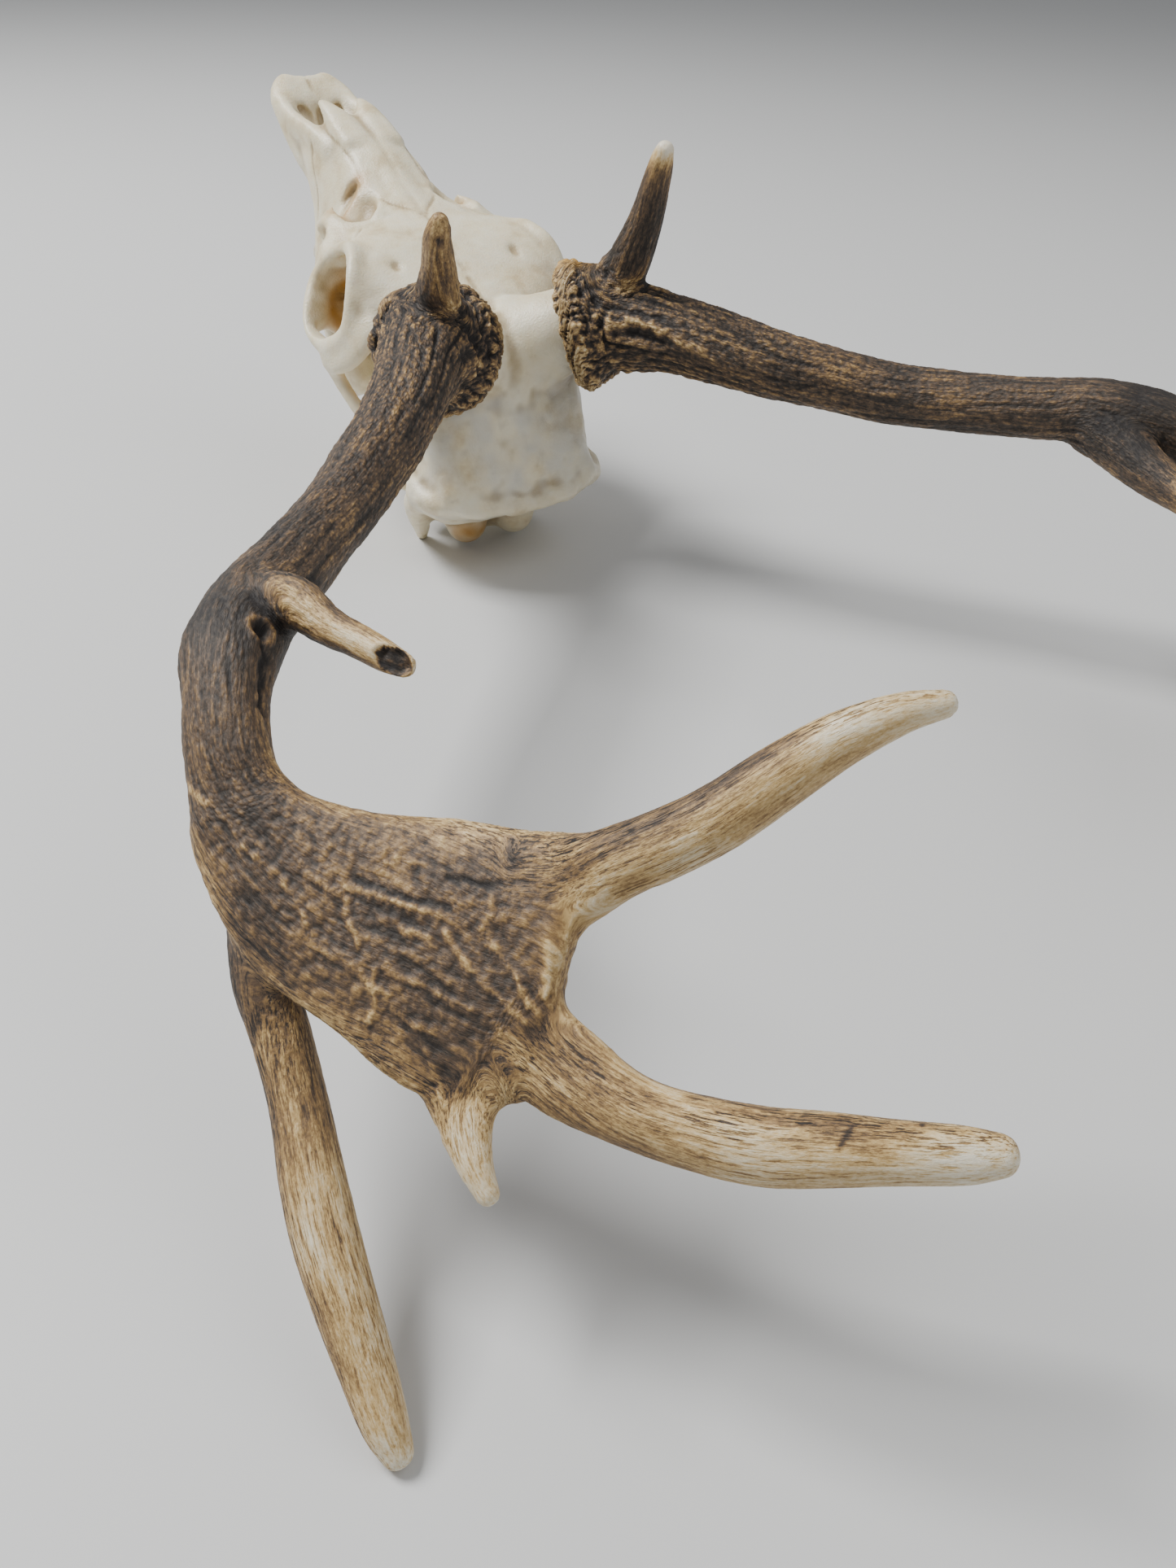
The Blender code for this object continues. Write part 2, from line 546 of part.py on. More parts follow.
def build():
    clear_scene()
    bone = material("bleached_bone", (0.86, 0.83, 0.76), 0.42)
    enamel = material("tooth_enamel", (0.82, 0.77, 0.66), 0.30)
    antler = material("dark_antler", (0.17, 0.115, 0.075), 0.62)
    tine = material("polished_tine", (0.46, 0.37, 0.26), 0.45)
    axes = bpy.data.objects.new("skull_axes", None)
    bpy.context.scene.collection.objects.link(axes)
    axes.rotation_euler = (math.radians(NOSE_UP_DEG), 0, 0)

    cranium = build_cranium(axes, bone)
    resting = [cranium]
    for side in (-1, 1):
        beam_room, burr_room, tines = build_antler(side, axes, antler, tine)
        combine(cranium, beam_room, "DIFFERENCE")
        combine(cranium, burr_room, "DIFFERENCE")
        combine(cranium, build_teeth(side, axes, enamel), "DIFFERENCE")
        resting.append(tines["back_tine"])
    rest_on_ground(axes, resting)


build()
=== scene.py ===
import math

import bpy
import numpy as np
from mathutils import Matrix, Vector


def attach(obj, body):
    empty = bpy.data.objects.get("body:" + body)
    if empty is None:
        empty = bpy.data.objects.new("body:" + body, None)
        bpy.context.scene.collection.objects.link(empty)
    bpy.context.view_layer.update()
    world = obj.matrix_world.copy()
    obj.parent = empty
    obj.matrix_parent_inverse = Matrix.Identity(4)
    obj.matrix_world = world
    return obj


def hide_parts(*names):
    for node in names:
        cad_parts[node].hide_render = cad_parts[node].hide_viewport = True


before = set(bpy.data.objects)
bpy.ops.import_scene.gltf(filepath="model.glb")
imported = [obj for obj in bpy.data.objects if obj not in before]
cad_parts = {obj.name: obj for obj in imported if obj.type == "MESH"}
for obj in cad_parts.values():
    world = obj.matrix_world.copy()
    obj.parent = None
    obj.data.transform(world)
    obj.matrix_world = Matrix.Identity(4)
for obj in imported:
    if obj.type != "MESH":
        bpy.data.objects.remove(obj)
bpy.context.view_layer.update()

# The cranium: one bleached bone, boiled clean and left a waxy ivory white. It lies on
# the back of the head with the nose up. It is built as its bones lie, in millimetres: x to
# the animal's right, y to the nose, z to the forehead, from the condyles and the palate.
NOSE_UP_DEG = 46.38
LIES_AT = (0.0, 127.9, -9.81)
FUSING_GRID = 1.7
BONE_GRID = 1.23

# Head form along y: lowest z, highest z, half widths low, middle and high
HEAD_SECTIONS = [
    (-7, 58, 74, 20, 30, 26), (-3, 46, 80, 30, 38, 36), (2, 34, 84, 31, 42, 40), (10, 22, 88, 29, 41, 38.5),
    (27, 18, 94, 27, 42, 39.5), (45, 18, 99, 25, 43, 41), (61, 20, 102, 23, 40, 39), (77, 24, 98, 19, 29, 37),
    (91, 27, 91, 16, 21, 42), (105, 24, 86, 16, 20, 44), (118, 12, 80, 26, 25, 38),
    (130, 2, 72.5, 32, 32, 32), (145, 0, 65, 33, 32, 26), (160, 0, 59, 30, 29, 22),
    (176, 0, 53.5, 26, 26, 19), (192, 1, 47, 22.5, 24.5, 16.5), (206, 3, 39.5, 19, 22, 13.5),
]
# Brow roof along y: z at the midline, half width, z at the rim, thickness
ROOF_SECTIONS = [
    (66, 101, 30, 90, 8), (78, 98, 40, 87, 8), (88, 94, 52, 86, 7), (98, 90, 53, 86.5, 7),
    (108, 86, 50, 85, 7), (118, 81.5, 46, 79, 7), (128, 75.5, 40, 69, 7), (136, 70, 35, 60.5, 7),
    (144, 65.5, 29, 53.5, 6),
]
ROOF_SHIFT = 2.0
# The nose bends a little to the left from here to its tip
NOSE_BEND = (165, 250, -7.5)
# Bars and plates of the right half: up axis, superellipse power, rows of centre and sizes
UP = (0, 0, 1)
CHEEK_ARCH = (UP, 2.4, [(58.5, 99, 46, 6, 11), (57.5, 86, 46, 6, 10), (55, 70, 46, 6, 9), (50, 55, 46, 7, 9),
                        (42, 42, 46, 12, 10), (33, 36, 46, 14, 12)])
POST_BAR = ((0, 1, 0), 2.4, [(44, 82, 84, 9, 16), (50, 80, 79, 8, 18), (55, 78, 70, 7, 19),
                             (58.5, 80, 60, 7, 18), (60, 86, 50, 7, 16)])
CHEEK = (UP, 2.4, [(58, 104, 41, 8, 12), (51, 115, 35, 12, 24), (43, 126, 28, 14, 32), (34, 138, 24, 14, 32),
                   (27, 152, 22, 12, 26)])
ORBIT_FLOOR = (UP, 2.4, [(50, 112, 38, 14, 8), (36, 106, 33, 20, 14), (26, 98, 28, 18, 16)])
ORBIT_FRONT = (UP, 2.4, [(52, 117, 38, 12, 8), (42, 126, 42, 14, 22), (30, 124, 44, 14, 26)])
TEAR_BONE = ((0.5, 0.2, 0.85), 2.4, [(46, 126, 56, 12, 8), (38, 132, 55, 28, 10), (30, 141, 52, 34, 14),
                                     (22, 151, 48, 28, 14)])
UPPER_JAW = (UP, 3.0, [(29, 83, 11, 13, 14), (30.5, 93, 10, 19, 20), (31.5, 110, 10, 20, 21),
                       (31, 126, 10, 20, 21), (29, 140, 10, 18, 20), (26.5, 152, 10, 15, 19),
                       (23, 167, 9, 12, 17), (19, 182, 8, 9, 14)])
PALATE_SHELF = (UP, 3.0, [(12, 87, 5, 30, 6), (12, 100, 4.5, 30, 6), (12, 124, 4, 30, 6)])
FRONT_JAW = (UP, 2.4, [(15, 196, 9, 14, 14), (14.5, 210, 9, 17, 13), (13.2, 224, 8.5, 20, 11),
                       (11, 236, 8, 22.5, 10), (8.4, 243.5, 7, 17.5, 9), (5.2, 247.5, 6.5, 11, 7)])
NOSE_WING = (UP, 2.4, [(16, 238, 9, 8, 8), (18.5, 227, 12.5, 7.5, 10), (18.8, 214, 19, 8, 13),
                       (18.4, 202, 27.5, 8, 14), (17.5, 188, 34, 8, 14)])
PALATE_ROD = (UP, 2.4, [(3.2, 246, 3.5, 8, 5), (3.6, 228, 4, 9, 5), (4.5, 205, 5, 10, 5)])
NASAL_TIP = (UP, 2.4, [(8, 184, 46.5, 17, 9), (8.5, 197, 42.5, 15, 8), (9.2, 209, 38, 10, 6.5),
                       (9.8, 217, 34, 5, 4)])
NUCHAL_CREST = (UP, 2.2, [(0, -9, 75, 8, 8), (16, -8, 77, 8, 8), (33, -3, 74, 8, 8), (44, 6, 65, 8, 9),
                          (43, 20, 58, 7, 8), (38, 38, 50, 7, 9)])
MASTOID = ((0, 1, 0), 2.2, [(44, 8, 62, 9, 10), (42, 11, 48, 10, 12), (36, 10, 32, 11, 11), (31, 8, 18, 9, 8),
                            (28, 5, 7, 5.5, 5)])
EAR_TUBE = (UP, 2.0, [(30, 27, 30, 14, 14), (44, 29, 37, 9, 9)])
PTERYGOID = (UP, 2.4, [(12, 93, 12, 3.6, 22), (11, 80, 14, 3.6, 22), (10, 67, 22, 4, 10)])
SIDE_BARS = [CHEEK_ARCH, POST_BAR, CHEEK, ORBIT_FLOOR, ORBIT_FRONT, TEAR_BONE, UPPER_JAW, PALATE_SHELF,
             FRONT_JAW, NOSE_WING, PALATE_ROD, NASAL_TIP, NUCHAL_CREST, MASTOID, EAR_TUBE, PTERYGOID]
SKULL_BASE = (UP, 2.2, [(0, 0, 25, 24, 11), (0, 25, 21, 20, 10), (0, 50, 24, 15, 11), (0, 84, 29, 11, 10)])
VOMER = (UP, 2.2, [(0, 84, 18, 3, 20), (0, 120, 12, 3, 20), (0, 190, 10, 3, 12)])
NOSE_BRIDGE = (UP, 2.4, [(0, 248.5, 6.5, 13, 6.5), (0, 241, 7.5, 22, 9), (0, 231, 8, 12, 9)])
ORBIT_RIM = [(47.5, 107, 85), (52.5, 94, 82.5), (56, 84, 73.5), (60, 84, 62), (61.5, 90, 52),
             (61.5, 101, 45), (57.5, 113, 43.5), (50.5, 124, 47.5), (45.5, 126, 61), (43.5, 119, 77)]
ORBIT_RIM_SIZE = (7, 6)
ORBIT_AXIS = (0.9, 0.4, 0.1)
CROWN_SWELL = ((0, 41, 92), (15, 12, 9))
PEDICLE = [(15, 56, 92, 48, 48), (25, 55, 104, 37, 37), (37.5, 53, 112.6, 36, 36)]
CONDYLE = ((13, 2, 31), (10, 10.5, 12))
BULLA = ((22, 24, 17), (8, 11, 9))
NASAL_OPENING = [(0, 229, 24, 20, 20), (0, 217, 24, 26, 25), (0, 200, 21, 28, 26), (0, 175, 21, 24, 24),
                 (0, 155, 22, 15, 17)]
FORAMEN_MAGNUM = ((0, -6, 45), (10, 20, 9.5))
ORBIT_SOCKET = ((52, 104, 62), (20, 16.5, 18.5))
TEAR_HOLLOW = ((26, 150.5, 59.5), (11, 12, 8.5))
VACUITY = [(32, 148, 50, 3, 18), (28.5, 155, 51, 7, 22), (23.5, 160.5, 52, 7, 22), (18.5, 164, 54, 3, 18)]
TEAR_PIT = ((50, 141, 47), (12, 11, 9))
SLIT = [(10.8, 231.5, 5, 1.4, 34), (8.8, 227.5, 5, 4.4, 34), (6.6, 222.5, 5, 3.6, 34),
        (5.2, 219.5, 5, 1.2, 34)]


def smooth_rows(rows, steps):
    """Rows read at even steps along a smooth curve through the given rows."""
    rows = np.array(rows, float)
    padded = np.vstack([2 * rows[0] - rows[1], rows, 2 * rows[-1] - rows[-2]])
    result = []
    for index in range(len(rows) - 1):
        a, b, c, d = padded[index:index + 4]
        for t in np.arange(steps) / steps:
            result.append(0.5 * (2 * b + (c - a) * t + (2 * a - 5 * b + 4 * c - d) * t * t
                                 + (3 * b - a - 3 * c + d) * t ** 3))
    return np.array(result + [rows[-1]])


def unit(vectors):
    return vectors / np.maximum(np.linalg.norm(vectors, axis=-1, keepdims=True), 1e-9)


def skin(rings, loop=False):
    """Points and faces of a closed tube over rings of equal point count."""
    count = len(rings[0])
    points = np.vstack(rings)
    total = len(points)
    faces = [] if loop else [tuple(range(count))[::-1], tuple(range(total - count, total))]
    for low in range(0, total if loop else total - count, count):
        high = (low + count) % total
        for index in range(count):
            after = (index + 1) % count
            faces.append((low + index, low + after, high + after, high + index))
    return points, faces


def branch(rows, up, steps=6, loop=False):
    """A finely read centreline with its sizes and the two directions that its sections lie in."""
    if loop:
        rows = smooth_rows(np.vstack([rows[-1:], rows, rows[:2]]), steps)[steps:-steps - 1]
        along = unit(np.roll(rows[:, :3], -1, 0) - np.roll(rows[:, :3], 1, 0))
    else:
        rows = smooth_rows(rows, steps)
        along = unit(np.gradient(rows[:, :3], axis=0))
    height = unit(np.array(up) - along * (along @ np.array(up))[:, None])
    return {"centre": rows[:, :3], "size": rows[:, 3:], "width": np.cross(along, height),
            "height": height, "along": along}


def around(count):
    """Angles of evenly spread points round a circle."""
    return np.arange(count) * 2 * math.pi / count


def tube(form, sides, power=2.0, loop=False):
    """Superellipse sections strung on a branch."""
    angle = around(sides)
    across = np.sign(np.cos(angle)) * np.abs(np.cos(angle)) ** (2 / power)
    through = np.sign(np.sin(angle)) * np.abs(np.sin(angle)) ** (2 / power)
    half = form["size"] / 2
    rings = (form["centre"][:, None] + form["width"][:, None] * across[:, None] * half[:, None, :1]
             + form["height"][:, None] * through[:, None] * half[:, None, 1:])
    return skin(list(rings[:, ::-1]), loop)


def mirrored(solid, side):
    """The solid on its own side, with its faces outwards."""
    points, faces = solid
    return points * (side, 1, 1), [face[::side] for face in faces]


def ball(centre, radii, side=1):
    """An ellipsoid of rings."""
    rings = []
    turn = around(24)
    for slope in np.linspace(-0.48 * math.pi, 0.48 * math.pi, 17):
        ring = np.column_stack([np.cos(turn) * math.cos(slope), np.sin(turn) * math.cos(slope),
                                np.full_like(turn, math.sin(slope))])
        rings.append(np.array(centre) + ring * radii)
    return mirrored(skin(rings), side)


def section_rings():
    rings = []
    for y, low, high, half_low, half_middle, half_high in smooth_rows(HEAD_SECTIONS, 4):
        tall = high - low
        right = [(0, low), (half_low * 0.8, low + 0.03 * tall), (half_low, low + 0.16 * tall),
                 (half_middle, low + 0.5 * tall), (half_high, low + 0.84 * tall),
                 (half_high * 0.62, low + 0.965 * tall), (0, high)]
        outline = right + [(-x, z) for x, z in reversed(right[1:-1])]
        curve = smooth_rows(outline[-1:] + outline + outline[:2], 4)[4:-5]
        rings.append(np.column_stack([curve[:, 0], np.full(len(curve), y), curve[:, 1]]))
    return rings


def roof_rings():
    rings = []
    spread = np.linspace(-1, 1, 25)
    for y, middle, half, rim, thick in smooth_rows(ROOF_SECTIONS, 4):
        top = rim + (middle - rim) * (1 - np.abs(spread) ** 2.2)
        low = top - thick * (1 - 0.5 * np.abs(spread) ** 6)
        reach = half * spread + ROOF_SHIFT * np.abs(spread)
        along = np.full_like(spread, y)
        rings.append(np.vstack([np.column_stack([reach, along, top]),
                                np.column_stack([reach * 0.97, along, low])[::-1]]))
    return rings


def thing_of(name, data):
    """An object in the room."""
    made = bpy.data.objects.new(name, data)
    bpy.context.scene.collection.objects.link(made)
    return made


def to_mesh(name, points, faces):
    mesh = bpy.data.meshes.new(name)
    mesh.from_pydata((np.asarray(points) * 0.001).tolist(), [], [list(face) for face in faces])
    mesh.update()
    return mesh


def read_mesh(mesh):
    """Points in millimetres and quads of an all-quad mesh."""
    points = np.empty(len(mesh.vertices) * 3)
    mesh.vertices.foreach_get("co", points)
    corners = np.empty(len(mesh.loops), int)
    mesh.loops.foreach_get("vertex_index", corners)
    return points.reshape(-1, 3) * 1000, corners.reshape(-1, 4)


def fuse(solids, grid, hollows=(), fine_grid=None):
    """One skin over overlapping solids, read on a voxel grid, with hollows cut between two passes."""
    start = np.cumsum([0] + [len(points) for points, _ in solids])
    faces = [[corner + first for corner in face] for (_, made), first in zip(solids, start) for face in made]
    form = thing_of("form", to_mesh("form", np.vstack([points for points, _ in solids]), faces))
    tools = []
    for number, size in enumerate((grid, fine_grid)):
        if size:
            voxels = form.modifiers.new(f"voxels_{number}", "REMESH")
            voxels.mode = "VOXEL"
            voxels.voxel_size = size * 0.001
        for points, made in hollows if number == 0 else ():
            tool = thing_of("hollow", to_mesh("hollow", points, made))
            cut = form.modifiers.new("cut", "BOOLEAN")
            cut.operation = "DIFFERENCE"
            cut.object = tool
            tools.append(tool)
    bpy.context.view_layer.update()
    shaped = form.evaluated_get(bpy.context.evaluated_depsgraph_get())
    result = read_mesh(shaped.to_mesh())
    for thing in tools + [form]:
        bpy.data.objects.remove(thing)
    return result


def largest(points, quads):
    """Only the largest connected skin."""
    label = np.arange(len(points))
    while True:
        lowest = label[quads].min(1)
        before = label.copy()
        for corner in quads.T:
            np.minimum.at(label, corner, lowest)
        label = label[label]
        if np.array_equal(before, label):
            break
    kept = label == np.bincount(label).argmax()
    renumber = np.cumsum(kept) - 1
    return points[kept], renumber[quads[kept[quads[:, 0]]]]


def ease(points, quads, rounds, share=0.5):
    """Each point moves a share of the way to the mean of its neighbours, round by round."""
    start = quads.ravel()
    end = np.roll(quads, -1, 1).ravel()
    degree = np.maximum(np.bincount(start, minlength=len(points)), 1)[:, None]
    share = np.broadcast_to(np.asarray(share, float), len(points))[:, None]
    for _ in range(rounds):
        total = np.column_stack([np.bincount(start, points[end, axis], len(points)) for axis in range(3)])
        points = points + share * (total / degree - points)
    return points


def normals(points, quads):
    cross = np.cross(points[quads[:, 2]] - points[quads[:, 0]], points[quads[:, 3]] - points[quads[:, 1]])
    total = np.zeros_like(points)
    for corner in quads.T:
        total += np.column_stack([np.bincount(corner, cross[:, axis], len(points)) for axis in range(3)])
    return unit(total)


def noise(points, size, seed=0):
    """Smooth value noise from -1 to 1, with lumps of the given size in each direction."""
    cell = points / np.asarray(size, float) + 17.3 * seed + 1000
    low = np.floor(cell).astype(np.int64)
    part = cell - low
    part = part * part * (3 - 2 * part)
    total = np.zeros(len(points))
    for corner in range(8):
        bits = np.array([corner & 1, corner >> 1 & 1, corner >> 2])
        spot = (low + bits) * (73856093, 19349663, 83492791)
        mixed = spot[:, 0] ^ spot[:, 1] ^ spot[:, 2]
        mixed = (mixed ^ (mixed >> 13)) * 1274126177 & 0xFFFFFFFF
        value = ((mixed ^ (mixed >> 16)) & 0xFFFF) / 32767.5 - 1
        total += value * np.prod(np.where(bits, part, 1 - part), axis=1)
    return total


def line_gap(points, line):
    """Distance from each point to a polyline."""
    line = np.array(line, float)
    best = np.full(len(points), 1e9)
    for a, b in zip(line, line[1:]):
        run = b - a
        t = np.clip((points - a) @ run / (run @ run), 0, 1)
        best = np.minimum(best, np.linalg.norm(points - a - t[:, None] * run, axis=1))
    return best


def near(gap, width):
    """1 on a line or spot, falling smoothly to 0 at about twice the width."""
    return np.exp(-(gap / width) ** 2)


def spot(points, centre, radius):
    return near(np.linalg.norm(points - np.array(centre), axis=1), radius)


def place(name, points, faces, side, finish, **marks):
    """The piece in the room: laid down as the skull lies, worn flat where it touches the surface.

    Its marks are kept as attributes."""
    turn = np.array(Matrix.Rotation(math.radians(NOSE_UP_DEG), 3, "X"))
    laid = (points * (side, 1, 1)) @ turn.T + LIES_AT
    laid[:, 2] = np.maximum(laid[:, 2], 0)
    mesh = to_mesh(name, laid, [tuple(face)[::-1] for face in faces] if side < 0 else faces)
    for mark, values in marks.items():
        kind = "FLOAT" if np.ndim(values) == 1 else "FLOAT_VECTOR"
        stored = mesh.attributes.new(mark, kind, "POINT")
        stored.data.foreach_set("value" if kind == "FLOAT" else "vector", np.float32(values).ravel())
    mesh.shade_smooth()
    mesh.materials.append(finish)
    piece = thing_of(name, mesh)
    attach(piece, "root")
    return piece


def node(tree, kind, **options):
    made = tree.nodes.new(kind)
    for option, value in options.items():
        setattr(made, option, value)
    return made


def plug(tree, socket, value):
    """A link where the value is another node's output, otherwise the socket's own value."""
    if isinstance(value, bpy.types.NodeSocket):
        tree.links.new(value, socket)
    else:
        socket.default_value = value


def finish_of(name, **settings):
    """A material with its Principled shader and its node tree."""
    made = bpy.data.materials.new(name)
    made.use_nodes = True
    tree = made.node_tree
    shader = tree.nodes["Principled BSDF"]
    for key, value in settings.items():
        plug(tree, shader.inputs[key.replace("_", " ")], value)
    return made, tree, shader


def mark_of(tree, name, output="Fac"):
    return node(tree, "ShaderNodeAttribute", attribute_name=name).outputs[output]


def grain(tree, where, scale, detail=4.0, roughness=0.6):
    made = node(tree, "ShaderNodeTexNoise")
    for key, value in (("Vector", where), ("Scale", scale), ("Detail", detail), ("Roughness", roughness)):
        plug(tree, made.inputs[key], value)
    return made.outputs["Fac"]


def maths(tree, operation, first, second=0.0, third=0.0):
    made = node(tree, "ShaderNodeMath", operation=operation)
    for socket, value in zip(made.inputs, (first, second, third)):
        plug(tree, socket, value)
    return made.outputs[0]


def blend(tree, share, first, second):
    made = node(tree, "ShaderNodeMix", data_type="RGBA")
    for socket, value in ((made.inputs[0], share), (made.inputs[6], first), (made.inputs[7], second)):
        plug(tree, socket, value)
    return made.outputs[2]


def ramp(tree, share, stops):
    """A colour scale: places from 0 to 1 with their colours."""
    made = node(tree, "ShaderNodeValToRGB")
    plug(tree, made.inputs[0], share)
    scale = made.color_ramp
    while len(scale.elements) < len(stops):
        scale.elements.new(0.5)
    for element, (where, colour) in zip(scale.elements, stops):
        element.position = where
        element.color = (*colour, 1)
    return made.outputs[0]


def relief(tree, shader, height, depth):
    """Fine relief from a height value, depth in metres."""
    bump = node(tree, "ShaderNodeBump")
    for key, value in (("Height", height), ("Distance", depth), ("Strength", 1.0)):
        plug(tree, bump.inputs[key], value)
    tree.links.new(bump.outputs[0], shader.inputs["Normal"])


bones = [skin(section_rings()), skin(roof_rings()), ball(*CROWN_SWELL)]
for up, power, rows in (SKULL_BASE, VOMER, NOSE_BRIDGE):
    bones.append(tube(branch(rows, up), 20, power))
hollows = [tube(branch(NASAL_OPENING, UP), 24, 2.6), ball(*FORAMEN_MAGNUM)]
for side in (-1, 1):
    for up, power, rows in SIDE_BARS:
        bones.append(mirrored(tube(branch(rows, up), 20, power), side))
    rim = [(*point, *ORBIT_RIM_SIZE) for point in ORBIT_RIM]
    bones.append(mirrored(tube(branch(rim, ORBIT_AXIS, loop=True), 16, loop=True), side))
    bones.append(mirrored(tube(branch(PEDICLE, UP), 32), side))
    bones += [ball(*CONDYLE, side), ball(*BULLA, side)]
    hollows += [ball(*ORBIT_SOCKET, side), ball(*TEAR_HOLLOW, side), ball(*TEAR_PIT, side)]
    hollows += [mirrored(tube(branch(rows, UP), 16), side) for rows in (SLIT, VACUITY)]
bone, bone_quads = largest(*fuse(bones, FUSING_GRID, hollows, BONE_GRID))
bone = ease(bone, bone_quads, 9)
facing = normals(bone, bone_quads)
folded = bone * (0, 1, 1) + np.abs(bone) * (1, 0, 0)

# Seams where the bones meet, foramina, the hollow before the tear duct, and the rough crest
SEAMS = [
    [(0, 206, 44), (0, 190, 50), (0, 170, 56), (0, 150, 64), (0, 131, 73), (1, 120, 80), (0, 96, 90),
     (1, 72, 100)],
    [(0, 249, 8), (0.4, 243, 11.5), (-0.3, 237, 12.5), (0, 231, 13)],
    [(18, 162, 52), (16, 155, 58), (12, 147, 63), (7.5, 142, 66), (3, 137, 69), (0, 131, 73)],
    [(15.5, 205, 34), (15.5, 196, 39), (16, 187, 45), (15.5, 179, 48), (15.5, 170, 52), (17, 162, 54)],
    [(0, 42, 108), (8, 41, 110), (16, 39, 111), (24, 37, 109), (33, 34, 101), (39, 30, 88)],
    [(22, 199, 30), (24, 191, 25), (26, 180, 22), (27, 170, 14)],
    [(18, 162, 52), (24, 146, 60), (33, 130, 68), (42, 122, 74)],
]
TEAR_RIMS = [[(14, 153, 62), (16.5, 146, 62), (20, 139, 64)], [(36, 146, 54), (33, 140.5, 57), (26, 138, 61)]]
NOSE_RIDGE = [(4.5, 206, 45), (4.5, 180, 55), (4, 150, 66), (2, 130, 76)]
folds = np.zeros(len(bone))
for number, line in enumerate(SEAMS):
    line = smooth_rows(line, 3)
    wander = noise(bone, 2.6, 30 + number)[:, None] * (0.5, 0.5, 0.2)
    folds = np.maximum(folds, near(line_gap(folded + wander, line), 0.9))
foramen = spot(folded * (1, 0.7, 1), (29, 72, 86.5), 2.6)
hollowed = spot(folded, (43, 90, 85), 8)
tongue = spot(folded, (26.5, 150, 55), 4.5)
nasal_dip = spot(folded * (1, 0.5, 1), (10, 81, 58), 7)
dish = spot(folded, (9, 226, 12), 6)
tear_rim = np.max([near(line_gap(folded, line), 2.2) for line in TEAR_RIMS], 0)
nose_ridge = near(line_gap(folded, NOSE_RIDGE), 3.5)
crest = near(line_gap(folded, [row[:3] for row in NUCHAL_CREST[2][:5]]), 6)
braincase = np.clip((46 - bone[:, 1]) / 14, 0, 1) * np.clip((bone[:, 2] - 40) / 20, 0, 1)
bone += facing * (
    0.22 * noise(bone, 11, 1) + 0.10 * noise(bone, 4.5, 2) + 0.04 * noise(bone, 1.8, 3)
    - 0.55 * folds - 1.8 * foramen - 1.0 * hollowed - 1.1 * nasal_dip + 2.0 * tongue - 1.3 * dish
    + 0.9 * tear_rim + 0.8 * nose_ridge + braincase * (0.6 * noise(bone, 7.5, 4) + 0.35 * noise(bone, 3.6, 5))
    + crest * (1.3 * noise(bone, 9, 6) + 0.5 * noise(bone, 3.4, 7)))[:, None]
bend = np.clip((bone[:, 1] - NOSE_BEND[0]) / (NOSE_BEND[1] - NOSE_BEND[0]), 0, 1.1)
bone[:, 0] += NOSE_BEND[2] * bend * bend * (3 - 2 * bend)
swing = np.clip((bone[:, 0] - 8) / 30, 0, 1) * near(bone[:, 1] - 120, 30)
bone += swing[:, None] * (1.4, 1.8, 0.6)
# How far each point lies sunk below its smoothed neighbours: this sets the painted shade in the hollows
sunken = ((ease(bone, bone_quads, 24) - bone) * normals(bone, bone_quads)).sum(1)

# Ochre is left in the eye sockets, the slots before them, the temples and on the left condyle
SOCKET_FLOOR = [(38, 122, 46), (42, 111, 42), (46, 100, 42)]
ochre = np.maximum.reduce([
    1.3 * near(line_gap(folded, SOCKET_FLOOR), 8),
    0.9 * spot(folded, (34, 104, 60), 13),
    1.3 * near(line_gap(folded, [row[:3] for row in VACUITY]), 5) * (0.4 + 0.6 * (bone[:, 0] < 0)),
    0.9 * spot(folded, (34, 66, 58), 16), 1.3 * spot(bone, (-13, -5, 34), 11)])
ochre = np.clip(ochre * (0.75 + 0.4 * noise(bone, 5, 8)), 0, 1)

BONE_TONES = [(0.32, (0.62, 0.50, 0.30)), (0.48, (0.79, 0.70, 0.49)), (0.66, (0.84, 0.78, 0.60))]
# Painted shade: the hollows are darkened towards this brown, and the real seams along with them
HOLLOW_SHADE_AND_SEAM_BONE = (0.42, 0.32, 0.18, 1)
GREY_BONE = (0.58, 0.58, 0.55, 1)
OCHRE_BONE = (0.46, 0.24, 0.055, 1)
ivory, tree, shader = finish_of("bleached_bone", Roughness=0.36, Subsurface_Weight=0.15,
                                Subsurface_Radius=(0.004, 0.0028, 0.0018), Subsurface_Scale=1.0)
where = node(tree, "ShaderNodeTexCoord").outputs["Object"]
clouds = grain(tree, where, 60.0, 6.0)
pores = grain(tree, where, 1100.0, 3.0)
# Painted shade in the hollows, plus the darker seams
shade_and_seam_share = maths(tree, "MULTIPLY", mark_of(tree, "sunken"), 0.9)
creamy = blend(tree, shade_and_seam_share, ramp(tree, clouds, BONE_TONES), HOLLOW_SHADE_AND_SEAM_BONE)
greyed = blend(tree, maths(tree, "MULTIPLY", mark_of(tree, "greyed"), 0.55), creamy, GREY_BONE)
stained = blend(tree, mark_of(tree, "ochre"), greyed, OCHRE_BONE)
plug(tree, shader.inputs["Base Color"], stained)
relief(tree, shader, maths(tree, "MULTIPLY_ADD", clouds, 3.0, pores), 0.00025)
greyed_at = 0.5 * hollowed + braincase * np.clip(0.5 + 0.8 * noise(bone, 10, 9)
                                                 + 0.4 * noise(bone, 4, 10), 0, 1)
cranium = place("bare_cranium", bone, bone_quads, 1, ivory, ochre=ochre, greyed=greyed_at * (1 - crest),
                sunken=np.clip(sunken * 2.2 + 0.45 * folds, 0, 1))
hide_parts("cranium")


